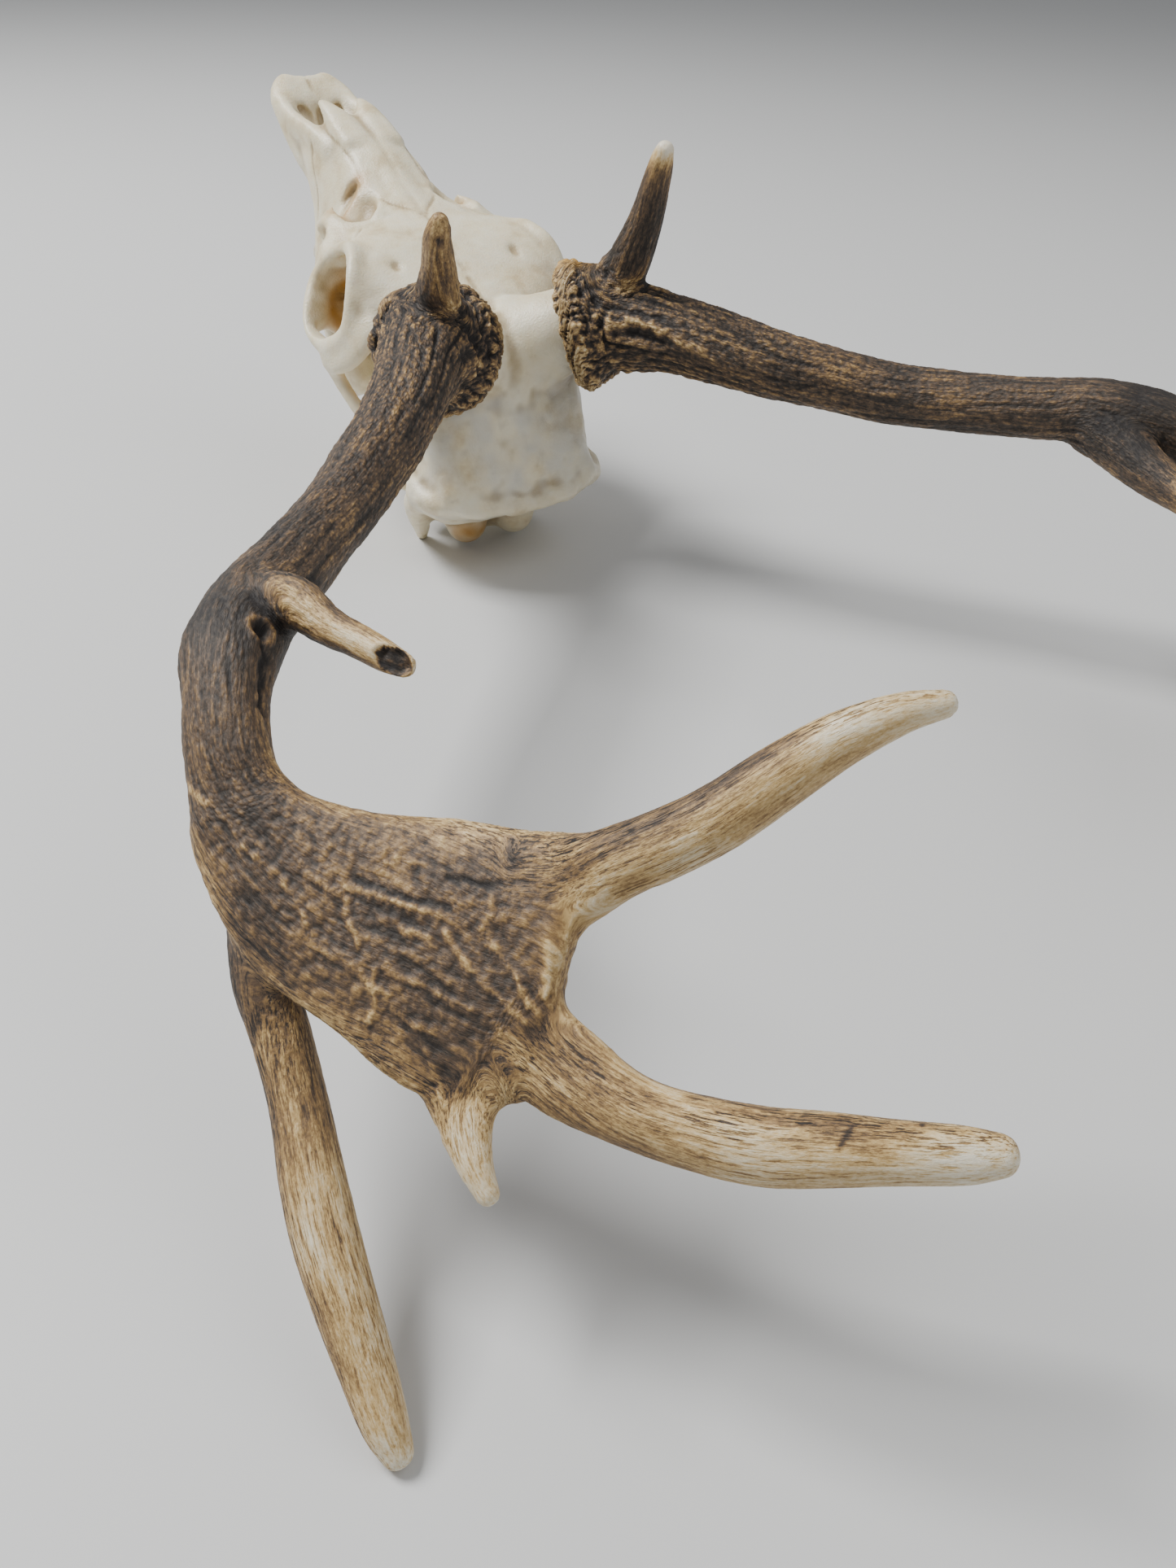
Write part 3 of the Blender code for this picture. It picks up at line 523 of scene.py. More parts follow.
# The cheek teeth: six a side in the upper jaw, low ridged crowns of cream enamel with
# crescent folds on the chewing face, dark in the folds, set in their sockets.
# Each tooth: its name, its place along and out from the middle, its length and its width
CHEEK_TEETH = [
    ("premolar_2", 162.5, 24.5, 10.5, 9.0), ("premolar_3", 151.0, 27.0, 11.5, 10.5),
    ("premolar_4", 139.5, 29.0, 10.8, 12.0), ("molar_1", 126.5, 30.5, 14.2, 13.5),
    ("molar_2", 111.0, 31.2, 16.0, 14.5), ("molar_3", 94.5, 30.5, 16.2, 14.0),
]
CROWN_HEIGHT = 9.0
# Heights from the chewing face to the root, each with its share of the full width
CROWN_STEPS = [(-8.4, 0.06), (-8.2, 0.25), (-8.8, 0.5), (-8.6, 0.74), (-7.6, 0.86), (-5.5, 0.95), (-2.5, 1),
               (1, 0.96), (6, 0.84)]
ENAMEL_TONES = [(0.25, (0.80, 0.74, 0.60)), (0.50, (0.62, 0.50, 0.33)), (0.95, (0.10, 0.06, 0.035))]
enamel, tree, shader = finish_of("tooth_enamel", Roughness=0.28, Coat_Weight=0.2)
where = node(tree, "ShaderNodeTexCoord").outputs["Object"]
stain = maths(tree, "MULTIPLY_ADD", grain(tree, where, 260.0), 0.5, mark_of(tree, "fold"))
plug(tree, shader.inputs["Base Color"], ramp(tree, stain, ENAMEL_TONES))
relief(tree, shader, grain(tree, where, 700.0), 0.0002)
for side, word in ((-1, "left"), (1, "right")):
    for tooth, along, out, length, width in CHEEK_TEETH:
        lobes = 2 if tooth.startswith("molar") else 1
        turn = around(48)
        run = np.sign(np.sin(turn)) * np.abs(np.sin(turn)) ** 0.7
        waist = 1 - 0.13 * np.cos(math.pi * lobes * run) ** 2 * (np.abs(run) < 0.95)
        rings = []
        for drop, share in CROWN_STEPS:
            rings.append(np.column_stack([out + width / 2 * share * waist * np.cos(turn),
                                          along + length / 2 * share * run, np.full_like(turn, drop)]))
        points, faces = skin(rings)
        chewing = np.clip((-points[:, 2] - 7.2) / 1.2, 0, 1)
        across = (points[:, 0] - out) / width
        row = (points[:, 1] - along) / length
        crescent = near(np.abs(across - 0.05) - 0.17 - 0.10 * np.cos(math.pi * 2 * lobes * row), 0.055)
        points[:, 2] += chewing * (0.9 * crescent - 0.7 * np.abs(np.sin(math.pi * lobes * (row + 0.5))))
        points[:, 2] = np.maximum(points[:, 2], -CROWN_HEIGHT)
        fold = 0.8 * crescent * chewing + 0.5 * near(points[:, 2] + 1, 1.2)
        crown = place(f"{word}_{tooth}", points, faces, side, enamel, fold=fold)
        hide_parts(f"{word}_{tooth}")


# The antlers: each grown in one piece from its pedicle, with a beaded burr, a dark fluted
# beam, brow and trez tines, and a flat palm that ends in long worn tines. The right one is
# described here and the left mirrors it, but for the brow and trez tines, which grew unlike.
ANTLER_GRID = 0.93
BURR_CENTRE = np.array((34.5, 53.5, 111.0))
BURR_AXIS = unit(np.array((0.80, -0.16, 0.58)))
BURR_SIZE = 54
BURR_OVAL = (0.06, 120)
# Rings of beads round the burr: count, place along the axis, reach and bead radius
BURR_BEADS = ((60, -3.6, 0.95, 1.9), (60, -1.4, 1.02, 2.1), (56, 1.0, 1.04, 2.1), (52, 3.4, 1.0, 2.0))
BLADE_NORMAL = (0.625, 0.154, 0.765)
# Each branch by its centreline: x, y, z, width across the blade and thickness
BEAM = [
    (32, 54, 109.2, 44, 44), (37.5, 52.6, 113.6, 44, 43.5), (46, 45.5, 125, 39, 38), (57.5, 34, 138, 32, 32),
    (69.5, 20, 150, 29, 28.5), (86, 3, 162, 28, 27), (102, -11, 173, 26, 25), (120, -27, 186, 24, 23.5),
    (138, -41, 202, 23.5, 23), (155.5, -55, 221, 24, 23.5), (170.5, -67, 238, 26.5, 24),
    (181, -80, 250, 24, 22), (187, -92, 256, 21.5, 20), (190.5, -103, 259.5, 22.5, 18.5),
    (192, -112, 261.3, 25, 17.5),
]
BROW_TINE = {
    -1: [(40, 52, 120, 25, 23), (40, 57, 132, 22.5, 20.5), (41.5, 61, 145, 17.5, 17), (44, 64.5, 158, 13, 13),
         (47, 67, 169, 10.8, 10.8), (47.8, 68.6, 175.5, 9, 9), (48, 69.2, 178, 7, 7)],
    1: [(42, 50, 120, 27, 23), (44, 59, 134, 23.5, 21.5), (47, 64, 148, 18, 17.5), (49, 71, 164, 13.5, 13.5),
        (49.5, 77, 175, 11.5, 11.5), (49.8, 81.5, 183, 9.5, 9.5), (50, 83.5, 187, 7.5, 7.5)],
}
TREZ_TINE = {
    -1: [(170, -64, 234, 15, 15), (165, -65, 243, 16, 15.5), (161, -70, 254, 13.5, 13),
         (158, -79, 263, 10, 9.5), (154, -87, 272, 8.6, 8), (151, -93, 278, 7.8, 7.2),
         (148.6, -97.2, 282.6, 6, 5.4)],
    1: [(167, -68, 232, 26, 21), (166, -82, 242, 22, 19), (162, -96, 253, 17.5, 16),
        (159, -106, 262, 14.5, 13.5), (155, -115, 271, 11.5, 10.5), (153, -122, 277, 8.5, 8),
        (151.5, -128, 283, 4, 4)],
}
TOP_TINE = [
    (148.5, -155, 309, 20, 6), (140.5, -157, 317, 22, 8), (132.5, -156, 325.5, 17, 12),
    (123.5, -155, 332.5, 15.2, 13), (113.5, -153, 340.5, 14.4, 13), (102.5, -149, 350, 13.4, 12.5),
    (92.5, -146, 358, 11.4, 11), (82.5, -145, 365, 8.6, 8.4), (74.5, -146, 369, 6, 5.6),
]
MIDDLE_TINE = [
    (159.5, -181, 307, 22, 6), (154.5, -193, 315, 22, 8), (147.5, -204, 323, 16.5, 12),
    (138.5, -212, 331, 15.8, 13), (129.5, -218, 339, 15.8, 13.5), (119.5, -222, 347, 14.8, 13),
    (109.5, -226, 354, 12.8, 11.5), (99.5, -230, 361, 11.4, 10.4), (94.6, -231.7, 364.6, 9, 8.6),
]
SPUR = [(170.5, -185, 298, 24, 6), (174, -194, 299.5, 19, 7.5), (176, -201, 302, 11.5, 7),
        (177, -207, 304.2, 7.8, 6.6), (177, -212.5, 306.2, 5.4, 5)]
BACK_TINE = [
    (197.5, -140, 264, 15, 8), (200.5, -155, 265.5, 15, 12), (201, -170, 266.5, 14, 13),
    (202.5, -185, 269, 13.5, 13.5), (205.5, -201, 273.5, 14.8, 14.5), (207.5, -215, 278, 15, 14.5),
    (208.5, -229, 282, 14, 13.5), (209, -241, 285, 12.4, 12), (209.5, -252, 288, 10.4, 10),
    (209.2, -258, 289.4, 7.6, 7.4),
]
# Palm by its two edges: upper edge point, lower edge point, thickness
PALM = [
    ((182.5, -106, 264), (200.5, -105, 255), 14), ((179.5, -116, 269), (203.5, -115, 257.5), 16),
    ((174.5, -122, 274), (205, -124, 259.5), 14.5), ((165.5, -129, 283), (205, -138, 265), 12.5),
    ((152.5, -136, 295), (201.5, -155, 272), 11), ((142.5, -143, 306), (192, -171, 283), 10),
    ((134.5, -147, 315), (184, -187, 292), 9.5), ((131, -149.5, 320.5), (175, -196, 300), 9.5),
    ((135, -156, 320.5), (166, -198, 306.5), 9), ((142.5, -165, 318), (159, -194, 310.5), 8),
]
CROTCH = [(136, -161, 324), (146, -169, 320), (149.5, -176, 318), (150, -184, 318.5), (146, -194, 325),
          (140, -203, 331)]
VEINS = [
    [(187, -133.5, 280.5), (185, -138, 283), (183, -142, 285.5), (181, -145, 287.5), (182, -147.5, 288),
     (182, -151, 289), (182, -154.5, 290.5), (181.5, -158.5, 291.5), (180, -160.5, 293), (178, -163, 295.5),
     (175, -166.5, 298), (172, -169.5, 301), (170, -173, 303.5), (167.5, -175.5, 305.5),
     (165.5, -178.5, 308)],
    [(180, -142, 287), (177, -144.5, 290), (174, -147, 292.5), (171.5, -149.5, 295), (168, -152.5, 298.5),
     (166, -155, 300.5), (165.5, -159, 302), (165, -162.5, 303.5), (164.5, -167.5, 306), (162.5, -172.5, 309),
     (161, -177, 311.5), (159.5, -181, 313.5)],
    [(166, -154.5, 300.5), (163, -156.5, 303.5), (160.5, -159, 306), (159, -161, 308)],
    [(155.5, -155, 307.5), (157, -157.5, 308), (158.5, -160.5, 308), (159, -163.5, 308.5),
     (158.5, -166.5, 310), (157.5, -170, 312), (157.5, -173.5, 313), (157.5, -177, 314), (157, -180, 315.5)],
    [(173.5, -155.5, 296), (171, -156.5, 298), (169, -158.5, 300)],
    [(191.5, -149, 282), (189.5, -153, 284.5), (187, -156, 287), (184.5, -159.5, 290), (183, -164, 292),
     (181.5, -167, 294), (180, -171, 295.5), (178.5, -174, 297.5), (177.5, -179.5, 299), (177.5, -184.5, 300),
     (177.5, -188.5, 299.5), (178, -193, 300.5)],
    [(178.5, -174, 297.5), (176.5, -176.5, 299.5), (174.5, -178, 301)],
    [(180, -160.5, 293), (182.5, -164, 292.5), (183, -168, 292.5), (185.5, -171.5, 291.5)],
    [(148.5, -165, 318), (150.5, -168.5, 317), (152.5, -173, 317), (154.5, -177, 316.5)],
    [(196, -126, 273), (192, -134.5, 278), (190, -144, 281.5), (189.5, -150, 283.5)],
]
FURROWS = [
    [(161, -147, 301), (155, -151.5, 306.5), (147.5, -153.5, 314)],
    [(177.5, -141.5, 288.5), (172, -147, 294), (163.5, -153.5, 302)],
]
CRACKS = [
    [(116.5, -218, 353), (119.5, -219, 353.5), (121, -220.5, 353)],
    [(104.5, -221, 359), (104.8, -223, 358.2)],
]
EDGE_LINE = [(205.5, -96, 256), (203.5, -103, 259), (201.5, -109, 262.5), (200, -113.5, 267)]
BASE_RIDGE = [(29.5, 40, 138), (38.5, 38.5, 142.5), (45.5, 32.7, 147.5), (51, 24.5, 152.7), (57, 15.3, 158),
              (61, 6.5, 161), (66, -3.4, 165)]
BEND_GROOVE = [(173, -75, 257.5), (173, -78, 258.5), (175, -84, 260), (177.5, -90, 262), (180, -96, 264.5)]
BEND_PIT = (172.8, -75.2, 257.5)
BEND_SWELL = ((186, -74, 248), 9)
BEND_SHADE = ((178, -72, 254), 15)
TAN_PATCH = ((42, 54, 143), 6)
AMBER_PATCH = ((34, 79, 118), 11)
TREZ_HOLLOW = (170, -68, 252)
BROW_PIT = (48.6, 64.5, 174.3)
BREAK_CENTRE = np.array((150.9, -94.6, 282.7))
BREAK_NORMAL = unit(np.array((0.508, 0.101, 0.858)))
BREAK_ALONG = unit(np.array((-0.34, -0.65, 0.68)))

# How each branch looks from its root to its tip: paleness, and depth of its fluting in millimetres
LOOKS = {
    "beam": ((0.20, 0.25, 0.27, 0.27, 0.25, 0.20, 0.20, 0.28), (1.7, 1.3, 1.05, 0.85, 0.7, 0.6, 0.5, 0.4)),
    "palm": ((0.29, 0.335, 0.345, 0.39), (0.34, 0.26, 0.22, 0.20)),
    "brow": ((0.26, 0.24, 0.25, 0.30, 0.36, 0.42), (1.0, 0.8, 0.6, 0.45, 0.3, 0.15)),
    "right_brow": ((0.26, 0.24, 0.20, 0.18, 0.19, 0.21, 0.24, 0.30, 0.85), (1.0, 0.8, 0.6, 0.45, 0.3, 0.1)),
    "trez": ((0.24, 0.44, 0.50, 0.54, 0.66, 0.84), (0.7, 0.7, 0.55, 0.35, 0.12, 0.03)),
    "right_trez": ((0.24, 0.25, 0.28, 0.42, 0.6, 0.8), (0.8, 0.7, 0.5, 0.3, 0.15, 0.05)),
    "top": ((0.38, 0.50, 0.60, 0.68, 0.76, 0.92), (0.28, 0.22, 0.16, 0.10, 0.05, 0)),
    "middle": ((0.35, 0.50, 0.60, 0.68, 0.72, 0.88), (0.28, 0.22, 0.16, 0.12, 0.06, 0)),
    "spur": ((0.36, 0.54, 0.68, 0.86), (0.2, 0.12, 0.06, 0)),
    "back": ((0.22, 0.34, 0.50, 0.60, 0.62, 0.66, 0.85), (0.35, 0.3, 0.25, 0.2, 0.15, 0.1, 0)),
}


def palm_branch():
    """The palm as a branch: its sections span the two edges."""
    edges = smooth_rows([(*upper, *lower, thick) for upper, lower, thick in PALM], 6)
    upper, lower, thick = edges[:, :3], edges[:, 3:6], edges[:, 6]
    half = (upper - lower) / 2
    width = unit(half)
    normal = unit(np.array(BLADE_NORMAL))
    height = unit(normal - width * (width @ normal)[:, None])
    return {"centre": (upper + lower) / 2, "size": np.column_stack([2 * np.linalg.norm(half, axis=1), thick]),
            "width": width, "height": height, "along": np.cross(height, width)}


def beside(points, form, fan=0.0):
    """Beside a branch: across, through and along it, the share of the way to its skin, and to its edges.

    Where the branch widens, fan spreads the lines that run along it."""
    centre = form["centre"]
    run = np.concatenate([[0], np.cumsum(np.linalg.norm(np.diff(centre, axis=0), axis=1))])
    gap = (points ** 2).sum(1)[:, None] - 2 * points @ centre.T + (centre ** 2).sum(1)
    at = gap.argmin(1)
    offset = points - centre[at]
    tangent = unit(np.gradient(centre, axis=0))[at]
    ahead = (offset * tangent).sum(1)
    across, through = (offset * form["width"][at]).sum(1), (offset * form["height"][at]).sum(1)
    half = form["size"][at] / 2
    share = np.sqrt((across / half[:, 0]) ** 2 + (through / half[:, 1]) ** 2
                    + (np.maximum(np.abs(ahead) - 1.5, 0) / half.min(1)) ** 2)
    spread = across * (12 / half[:, 0]) ** fan
    return np.column_stack([spread, through, run[at] + ahead]), share, across / half[:, 0], run[-1]


def pebbles(points, size, seed=0):
    """Close rounded bumps of about the given size: 1 on a bump's top, 0 between bumps."""
    cell = points / np.asarray(size, float) + 1000 + 31.7 * seed
    low = np.floor(cell).astype(np.int64)
    best = np.full(len(points), 9.0)
    for number in range(27):
        corner = low + (number % 3 - 1, number // 3 % 3 - 1, number // 9 - 1)
        mixed = corner @ np.array((73856093, 19349663, 83492791))
        mixed = ((mixed ^ (mixed >> 13)) * 1274126177) & 0xFFFFFFFFFFFF
        seat = np.column_stack([(mixed >> shift) & 0xFFF for shift in (3, 15, 27)]) / 4095
        best = np.minimum(best, ((cell - corner - seat) ** 2).sum(1))
    return np.clip(1 - 1.5 * best, 0, 1)


def blunt(form):
    """The branch with a rounded end."""
    reach = form["size"][-1].min() / 2
    ahead = form["along"][-1] * reach * np.array((0.45, 0.75, 0.95))[:, None]
    last = form["size"][-1] * np.array((0.89, 0.66, 0.31))[:, None]
    longer = {part: np.vstack([form[part], form[part][[-1] * 3]]) for part in ("width", "height", "along")}
    return longer | {"centre": np.vstack([form["centre"], form["centre"][-1] + ahead]),
                     "size": np.vstack([form["size"], last])}


def burr_reach(turn):
    oval, lean = BURR_OVAL
    return BURR_SIZE / 2 * (1 + oval * np.cos(2 * (turn - math.radians(lean))))


def burr_ring():
    """The ring that the beads sit on, and the two directions of its plane."""
    across = unit(np.cross(BURR_AXIS, (0, 0, 1)))
    other = np.cross(BURR_AXIS, across)
    turn = around(72)
    ring = across * np.cos(turn)[:, None] + other * np.sin(turn)[:, None]
    rings = []
    for along, share in ((-5, 0.80), (-4, 0.93), (-1.5, 1.0), (2, 1.0), (6, 0.96), (10, 0.91), (15, 0.80)):
        rings.append(BURR_CENTRE + BURR_AXIS * along + ring * (burr_reach(turn) * share)[:, None])
    return skin(rings), across, other


# Dark in the grooves, brown on the shafts and ivory where the antler was rubbed
ANTLER_TONES = [
    (0.0, (0.010, 0.007, 0.006)), (0.17, (0.034, 0.024, 0.016)), (0.32, (0.100, 0.061, 0.034)),
    (0.48, (0.29, 0.172, 0.064)), (0.63, (0.58, 0.39, 0.16)), (0.80, (0.74, 0.60, 0.37)),
    (1.0, (0.83, 0.76, 0.60)),
]
AMBER = (0.62, 0.34, 0.07, 1)
horn, tree, shader = finish_of("antler", Roughness=0.6)
paleness = mark_of(tree, "paleness")
rugged = mark_of(tree, "rugged")
streaky = mark_of(tree, "streaky")
flow = mark_of(tree, "flow", "Vector")


def stretched(tree, where, along):
    made = node(tree, "ShaderNodeMapping")
    plug(tree, made.inputs["Vector"], where)
    made.inputs["Scale"].default_value = (1, 1, along)
    return made.outputs[0]


def steps_of(tree, value, low, high):
    made = node(tree, "ShaderNodeMapRange", interpolation_type="SMOOTHSTEP")
    for key, given in (("Value", value), ("From Min", low), ("From Max", high)):
        plug(tree, made.inputs[key], given)
    return made.outputs["Result"]


streaks = grain(tree, stretched(tree, flow, 0.10), 0.9, 5.0, 0.62)
hairlines = grain(tree, stretched(tree, flow, 0.06), 2.6, 3.0, 0.6)
crumbs = node(tree, "ShaderNodeTexVoronoi", feature="SMOOTH_F1")
for key, value in (("Vector", stretched(tree, flow, 0.55)), ("Scale", 0.85), ("Smoothness", 0.35)):
    plug(tree, crumbs.inputs[key], value)
crumbs = maths(tree, "SUBTRACT", 0.75, crumbs.outputs["Distance"])
dust = grain(tree, stretched(tree, flow, 0.4), 2.2, 4.0, 0.65)
tone = maths(tree, "MULTIPLY_ADD", maths(tree, "SUBTRACT", streaks, 0.5), 0.75, paleness)
tone = maths(tree, "MULTIPLY_ADD", maths(tree, "SUBTRACT", dust, 0.5), 0.50, tone)
crumbled = maths(tree, "MULTIPLY", maths(tree, "SUBTRACT", crumbs, 0.35), rugged)
tone = maths(tree, "MULTIPLY_ADD", crumbled, 0.30, tone)
lines = maths(tree, "MULTIPLY", steps_of(tree, hairlines, 0.50, 0.62), streaky)
tone = maths(tree, "MULTIPLY_ADD", lines, -0.42, tone)
amber = blend(tree, mark_of(tree, "amber"), ramp(tree, tone, ANTLER_TONES), AMBER)
plug(tree, shader.inputs["Base Color"], amber)
plug(tree, shader.inputs["Roughness"], maths(tree, "MULTIPLY_ADD", tone, -0.34, 0.70))
bumps = maths(tree, "MULTIPLY", maths(tree, "ADD", streaks, maths(tree, "MULTIPLY", crumbs, 0.7)), rugged)
bumps = maths(tree, "MULTIPLY_ADD", lines, -0.12, maths(tree, "MULTIPLY_ADD", dust, 0.18, bumps))
relief(tree, shader, bumps, 0.0010)

for side, word in ((-1, "left"), (1, "right")):
    forms = {"beam": branch(BEAM, BLADE_NORMAL), "palm": palm_branch()}
    for tine, rows in (("brow", BROW_TINE[side]), ("trez", TREZ_TINE[side]), ("top", TOP_TINE),
                       ("middle", MIDDLE_TINE), ("spur", SPUR), ("back", BACK_TINE)):
        forms[tine] = blunt(branch(rows, BLADE_NORMAL))
    ring, across, other = burr_ring()
    solids = [tube(form, 36, 2.5 if part == "palm" else 2.0) for part, form in forms.items()] + [ring]
    points, quads = largest(*fuse(solids, ANTLER_GRID))
    for share in (0.5, -0.52) * 6:
        points = ease(points, quads, 1, share)

    # Where each point lies beside each branch, blended where branches meet
    lies, shares, edges, ends, leads = [], [], [], [], []
    for part, form in forms.items():
        fan = 0.5 if part == "palm" else 0.0
        spread, share, edge, end = beside(points, form, fan)
        root = form["centre"][:1]
        if part == "beam":
            leads.append(np.zeros(3))
        elif part == "palm":
            leads.append(np.array((0, 0, ends[0])))
        elif part in ("brow", "trez"):
            leads.append(beside(root, forms["beam"])[0][0])
        else:
            leads.append(beside(root, forms["palm"], 0.5)[0][0] + (0, 0, ends[0]))
        lies.append(spread)
        shares.append(share)
        edges.append(edge)
        ends.append(end)
    shares = np.array(shares)
    weight = np.exp(-8 * (shares - shares.min(0)))
    weight /= weight.sum(0)
    share_of = dict(zip(forms, weight))
    edge_of = dict(zip(forms, edges))
    flow_at = sum(w[:, None] * (spread + lead) for w, spread, lead in zip(weight, lies, leads))
    flow_at = ease(flow_at, quads, 16)
    pale_at = np.zeros(len(points))
    fluting = np.zeros(len(points))
    for part, w, spread, end in zip(forms, weight, lies, ends):
        pale, flutes = LOOKS["right_" + part if part in ("brow", "trez") and side > 0 else part]
        way = np.clip(spread[:, 2] / end, 0, 1)
        pale_at += w * np.interp(way, np.linspace(0, 1, len(pale)), pale)
        fluting += w * np.interp(way, np.linspace(0, 1, len(flutes)), flutes)
    fork = 1 - weight.max(0)
    points = ease(points, quads, 50, 0.6 * np.clip(fork * 2.5 + near(line_gap(points, CROTCH), 8), 0, 1))
    facing = normals(points, quads)
    seed = 40 if side < 0 else 70

    # Beads round the burr, and the knobbed skirt of the beam above it
    height = (points - BURR_CENTRE) @ BURR_AXIS
    at_burr = shares[0] < 1.7
    close = np.flatnonzero((np.abs(height) < 14) & at_burr)
    dice = np.random.default_rng(5 + side)
    lift = np.zeros(len(close))
    for count, along, out, radius in BURR_BEADS:
        for turn in (np.arange(count) + dice.uniform(-0.35, 0.35, count)) * 2 * math.pi / count:
            size = radius * dice.uniform(0.7, 1.25)
            spoke = across * math.cos(turn) + other * math.sin(turn)
            bead = (BURR_CENTRE + BURR_AXIS * (along + dice.uniform(-0.9, 0.9))
                    + spoke * (burr_reach(turn) * out - size * 0.3))
            gap = np.linalg.norm(points[close] - bead, axis=1)
            lift = np.maximum(lift, np.sqrt(np.maximum(1 - (gap / size) ** 2, 0)) * size * 0.6)
    beads = np.zeros(len(points))
    beads[close] = lift * np.clip((8 - np.abs(height[close])) / 3, 0, 1)
    rim = np.where(at_burr, near(height + 0.5, 4.0), 0)
    skirt = np.where(at_burr, near(height - 13, 8.0), 0)
    knobs = noise(points, (6.5, 6.5, 6.5), seed) + 0.7 * noise(points, 3.4, seed + 1)

    # Fluting and pearling along the beam, pebbles and veins on the palm
    flutes = np.minimum(np.abs(noise(flow_at, (4.6, 4.6, 46), seed + 2)) * 2.6, 1) - 0.6
    fine_flutes = np.minimum(np.abs(noise(flow_at, (2.6, 2.6, 20), seed + 3)) * 2.4, 1) - 0.55
    swell = noise(flow_at, (7, 7, 24), seed + 4)
    pearls = pebbles(flow_at, (2.3, 2.3, 3.6), seed + 5)
    crumble = pebbles(flow_at, (1.9, 1.9, 2.6), seed + 6)
    crotch = near(line_gap(points, CROTCH), 4.2)
    band = share_of["palm"] * (np.clip((edge_of["palm"] - 0.3) / 0.4, 0, 1)
                               + 0.6 * np.clip((-edge_of["palm"] - 0.55) / 0.3, 0, 1))
    vein = np.zeros(len(points))
    behind = unit(np.array(BLADE_NORMAL)) * 11
    straying = noise(points, 2.6, seed + 7)[:, None] * (0.7, 0.7, 0.7)
    for line in VEINS:
        line = smooth_rows(line, 2)
        vein = np.maximum.reduce([vein, near(line_gap(points + straying, line), 0.85),
                                  0.8 * near(line_gap(points - straying, line - behind), 1.0)])
    vein *= share_of["palm"] + share_of["spur"]
    furrow = np.max([near(line_gap(points + straying, line), 0.9) for line in FURROWS], 0)
    bend_groove = near(line_gap(points + 2 * straying, BEND_GROOVE), 1.2) * (side < 0)
    pit = spot(points, BEND_PIT, 2.2) * (side < 0)
    pit_ring = near(np.linalg.norm(points - np.array(BEND_PIT), axis=1) - 3.6, 0.9) * (side < 0)
    trez_hollow = spot(points, TREZ_HOLLOW, 5)
    brow_pit = spot(points, BROW_PIT, 1.9) * (side < 0)
    bend_swell = spot(points, *BEND_SWELL)
    bend_dark = spot(points, *BEND_SHADE)
    edge_line = near(line_gap(points, EDGE_LINE), 1.0)
    base_line = smooth_rows(BASE_RIDGE, 2)
    base_ridge = near(line_gap(points + 0.8 * straying, base_line), 1.9) * (side > 0)
    base_furrow = near(line_gap(points + 0.8 * straying, base_line - (1.2, 4.2, 0.4)), 2.0) * (side > 0)
    move = (fluting * (0.75 * flutes + 0.38 * fine_flutes + 0.45 * swell + 0.50 * (pearls - 0.4))
            + (share_of["palm"] - 0.8 * band) * (1 - crotch) * (
                0.45 * (crumble - 0.4) + 0.25 * noise(flow_at, (3.5, 3.5, 8), seed + 10))
            + 0.6 * vein - 0.4 * furrow + beads + skirt * 1.7 * knobs + 1.8 * bend_swell + 0.35 * edge_line
            + 1.1 * base_ridge - 1.2 * base_furrow
            - 0.9 * bend_groove - 1.8 * pit + 0.5 * pit_ring - 0.8 * trez_hollow - 1.2 * brow_pit)
    points = points + facing * move[:, None]

    # The trez tine's tip is broken off in a hollow facet
    offset = points - BREAK_CENTRE
    depth = offset @ BREAK_NORMAL
    run = offset @ BREAK_ALONG
    aside = offset @ np.cross(BREAK_NORMAL, BREAK_ALONG)
    radial = np.sqrt((run / 1.75) ** 2 + (aside - 0.4) ** 2)
    broken = np.clip((3.1 - radial) / 0.7, 0, 1) * (np.abs(depth) < 7) * (share_of["trez"] > 0.5) * (side < 0)
    points -= BREAK_NORMAL * (broken * np.clip(depth + 2.6 - 0.6 * noise(points, 1.6, 9), 0, 4))[:, None]
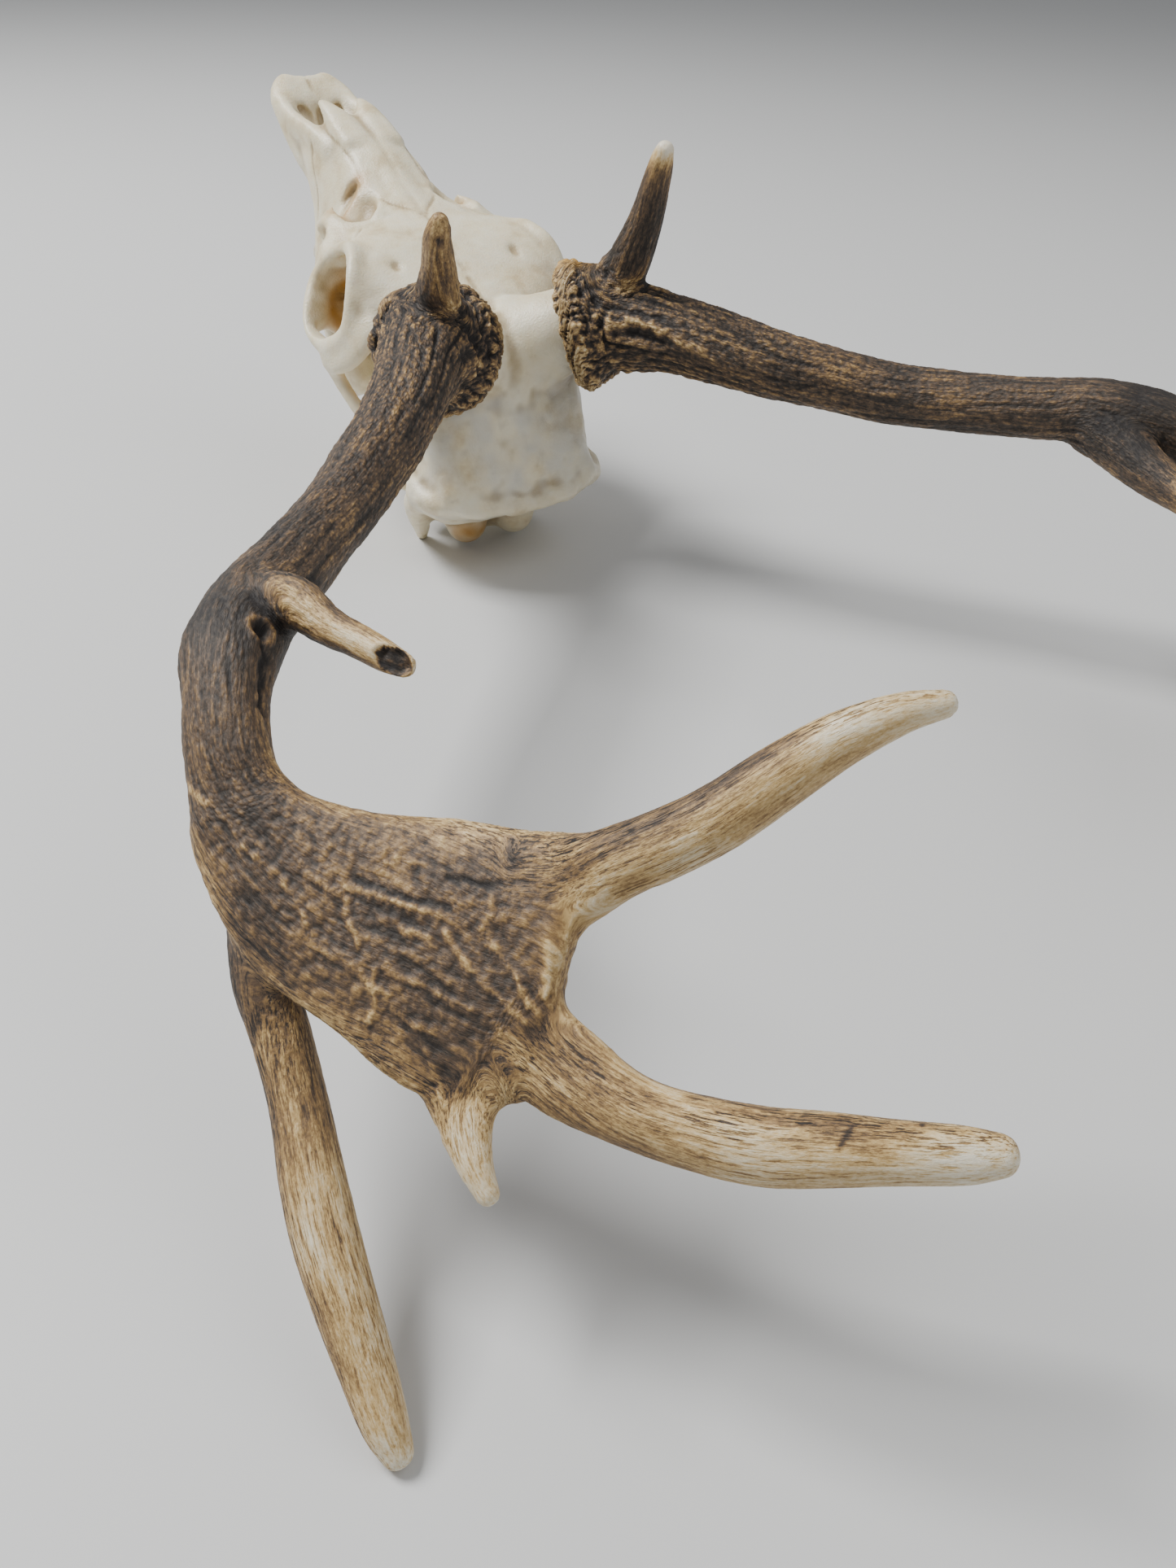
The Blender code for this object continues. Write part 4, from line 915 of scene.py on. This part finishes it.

    # High spots are rubbed pale and hollows stay dark.
    # Painted shade darkens the tines' lower edges, the left trez tine's underside and the beam's bend.
    high = np.clip(((points - ease(points, quads, 10)) * normals(points, quads)).sum(1) / 0.35, -1, 1)
    on_tines = sum(share_of[part] for part in ("top", "middle", "back", "trez", "spur"))
    upper = sum(share_of[part] * np.clip(edge_of[part], -1, 1) for part in ("top", "middle", "trez"))
    upper = upper - share_of["back"] * np.clip(edge_of["back"], -1, 1)
    palm_edge = np.clip(np.abs(edge_of["palm"]) - 0.6, 0, 0.4) / 0.4 * share_of["palm"]
    patches = noise(flow_at, (8, 8, 22), seed + 8) + 0.6 * noise(flow_at, (3.5, 3.5, 12), seed + 9)
    cracks = np.max([near(line_gap(points, line), 0.5) for line in CRACKS], 0) * (side < 0)
    burr_tan = 0.11 if side > 0 else 0.03
    # Painted shade: the underside of the left trez tine is darkened
    trez_underside_shade = share_of["trez"] * np.clip(-edge_of["trez"] - 0.1, 0, 0.8) * (side < 0)
    # bend_dark is a painted shade over the beam's bend
    pale_at += ((0.12 + 0.10 * share_of["palm"]) * high * (0.6 + fluting) - 0.11 * bend_dark * (1 - on_tines)
                - 0.38 * trez_underside_shade + (0.09 + 0.14 * share_of["brow"] + 0.07 * on_tines) * patches + 0.06 * vein
                - 0.14 * furrow + 0.13 * palm_edge + 0.20 * crotch + burr_tan * (rim + np.clip(beads, 0, 1))
                - 0.26 * on_tines * np.clip(upper - 0.15, 0, 0.7)
                # painted shade: the lower edges of the tines are darkened
                - 0.10 * on_tines * np.clip(-upper - 0.5, 0, 0.5)
                + 0.10 * share_of["palm"] * (np.clip(edge_of["palm"] - 0.45, 0, 0.5) * 2 - 0.3)
                + 0.08 * band + 0.17 * base_ridge - 0.14 * base_furrow
                + 0.28 * spot(points, *TAN_PATCH) * np.clip(0.7 + noise(points, 4, 13), 0, 1)
                + 0.10 * skirt * knobs + 0.30 * edge_line - 0.14 * bend_groove - 0.10 * pit + 0.20 * pit_ring
                - 0.14 * trez_hollow - 0.25 * brow_pit - 0.32 * cracks)
    pale_at = np.where(broken > 0.4, 0.14 + 0.05 * np.clip(run, 0, 5) + 0.10 * noise(points, 1.3, 3), pale_at)
    streaks_at = np.clip((on_tines - 0.6 * share_of["trez"]) * (0.35 + 0.8 * np.clip(upper - 0.1, 0, 1)
                                                                + 0.3 * patches)
                         + 0.5 * palm_edge + 0.5 * band, 0, 1) * (1 - crotch)
    amber_at = 1.3 * spot(points, *AMBER_PATCH) * (side > 0)
    amber_at = np.clip(amber_at * np.clip(0.6 + noise(points, 2.4, 12), 0, 1), 0, 0.9)
    antler = place(f"{word}_antler", points, quads, side, horn, paleness=pale_at, flow=flow_at,
                   rugged=np.clip(fluting + 0.35 * (share_of["palm"] - band), 0.04, 1), streaky=streaks_at,
                   amber=amber_at)
    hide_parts(*[f"{word}_{part}" for part in ("beam", "brow_tine", "trez_tine", "palm", "top_tine",
                                                        "middle_tine", "spur", "back_tine")])


# The room: a plain pale painted floor, one broad lamp ahead of the nose on the left, a wide
# weak one behind on the right, and even daylight from all round.
FLOOR_REACH = 6.0
FLOOR_DROP = 0.0002
floor_finish, tree, shader = finish_of("pale_floor", Base_Color=(0.62, 0.62, 0.61, 1), Roughness=0.55)
floor_mesh = bpy.data.meshes.new("floor")
corners = [(x * FLOOR_REACH, y * FLOOR_REACH, -FLOOR_DROP) for x, y in ((-1, -1), (1, -1), (1, 1), (-1, 1))]
floor_mesh.from_pydata(corners, [], [(0, 1, 2, 3)])
floor_mesh.materials.append(floor_finish)
thing_of("floor", floor_mesh)

LAMPS_AIM_AT = Vector((0, 0, 0.1))
# Each lamp: its place, the length of its side in metres, and its power in watts
for name, where, size, power in (("key", (-0.9, 1.0, 1.9), 0.9, 78), ("fill", (0.9, -0.9, 1.5), 1.5, 12)):
    lamp = bpy.data.lights.new(name, "AREA")
    lamp.size = size
    lamp.energy = power
    stand = thing_of(name, lamp)
    stand.location = where
    stand.rotation_euler = (LAMPS_AIM_AT - Vector(where)).to_track_quat("-Z", "Y").to_euler()
world = bpy.data.worlds.new("room")
world.use_nodes = True
daylight = world.node_tree.nodes["Background"].inputs
daylight["Color"].default_value = (0.80, 0.82, 0.85, 1)
daylight["Strength"].default_value = 0.35
bpy.context.scene.world = world

# The camera: close above the left palm, looking down along the antlers to the skull. Its lens
# is given as the focal length in pixels of a picture of the photograph's height.
FOCAL_PIXELS = 1400
PICTURE_HEIGHT = 1927
SENSOR_HEIGHT = 36
camera = thing_of("camera", bpy.data.cameras.new("camera"))
bpy.context.scene.camera = camera
camera.data.sensor_fit = "VERTICAL"
camera.data.sensor_height = SENSOR_HEIGHT
camera.data.lens = SENSOR_HEIGHT * FOCAL_PIXELS / PICTURE_HEIGHT
camera.location = (-0.23338, -0.35984, 0.26515)
camera.rotation_euler = [math.radians(turn) for turn in (51.05, -2.13, -30.86)]
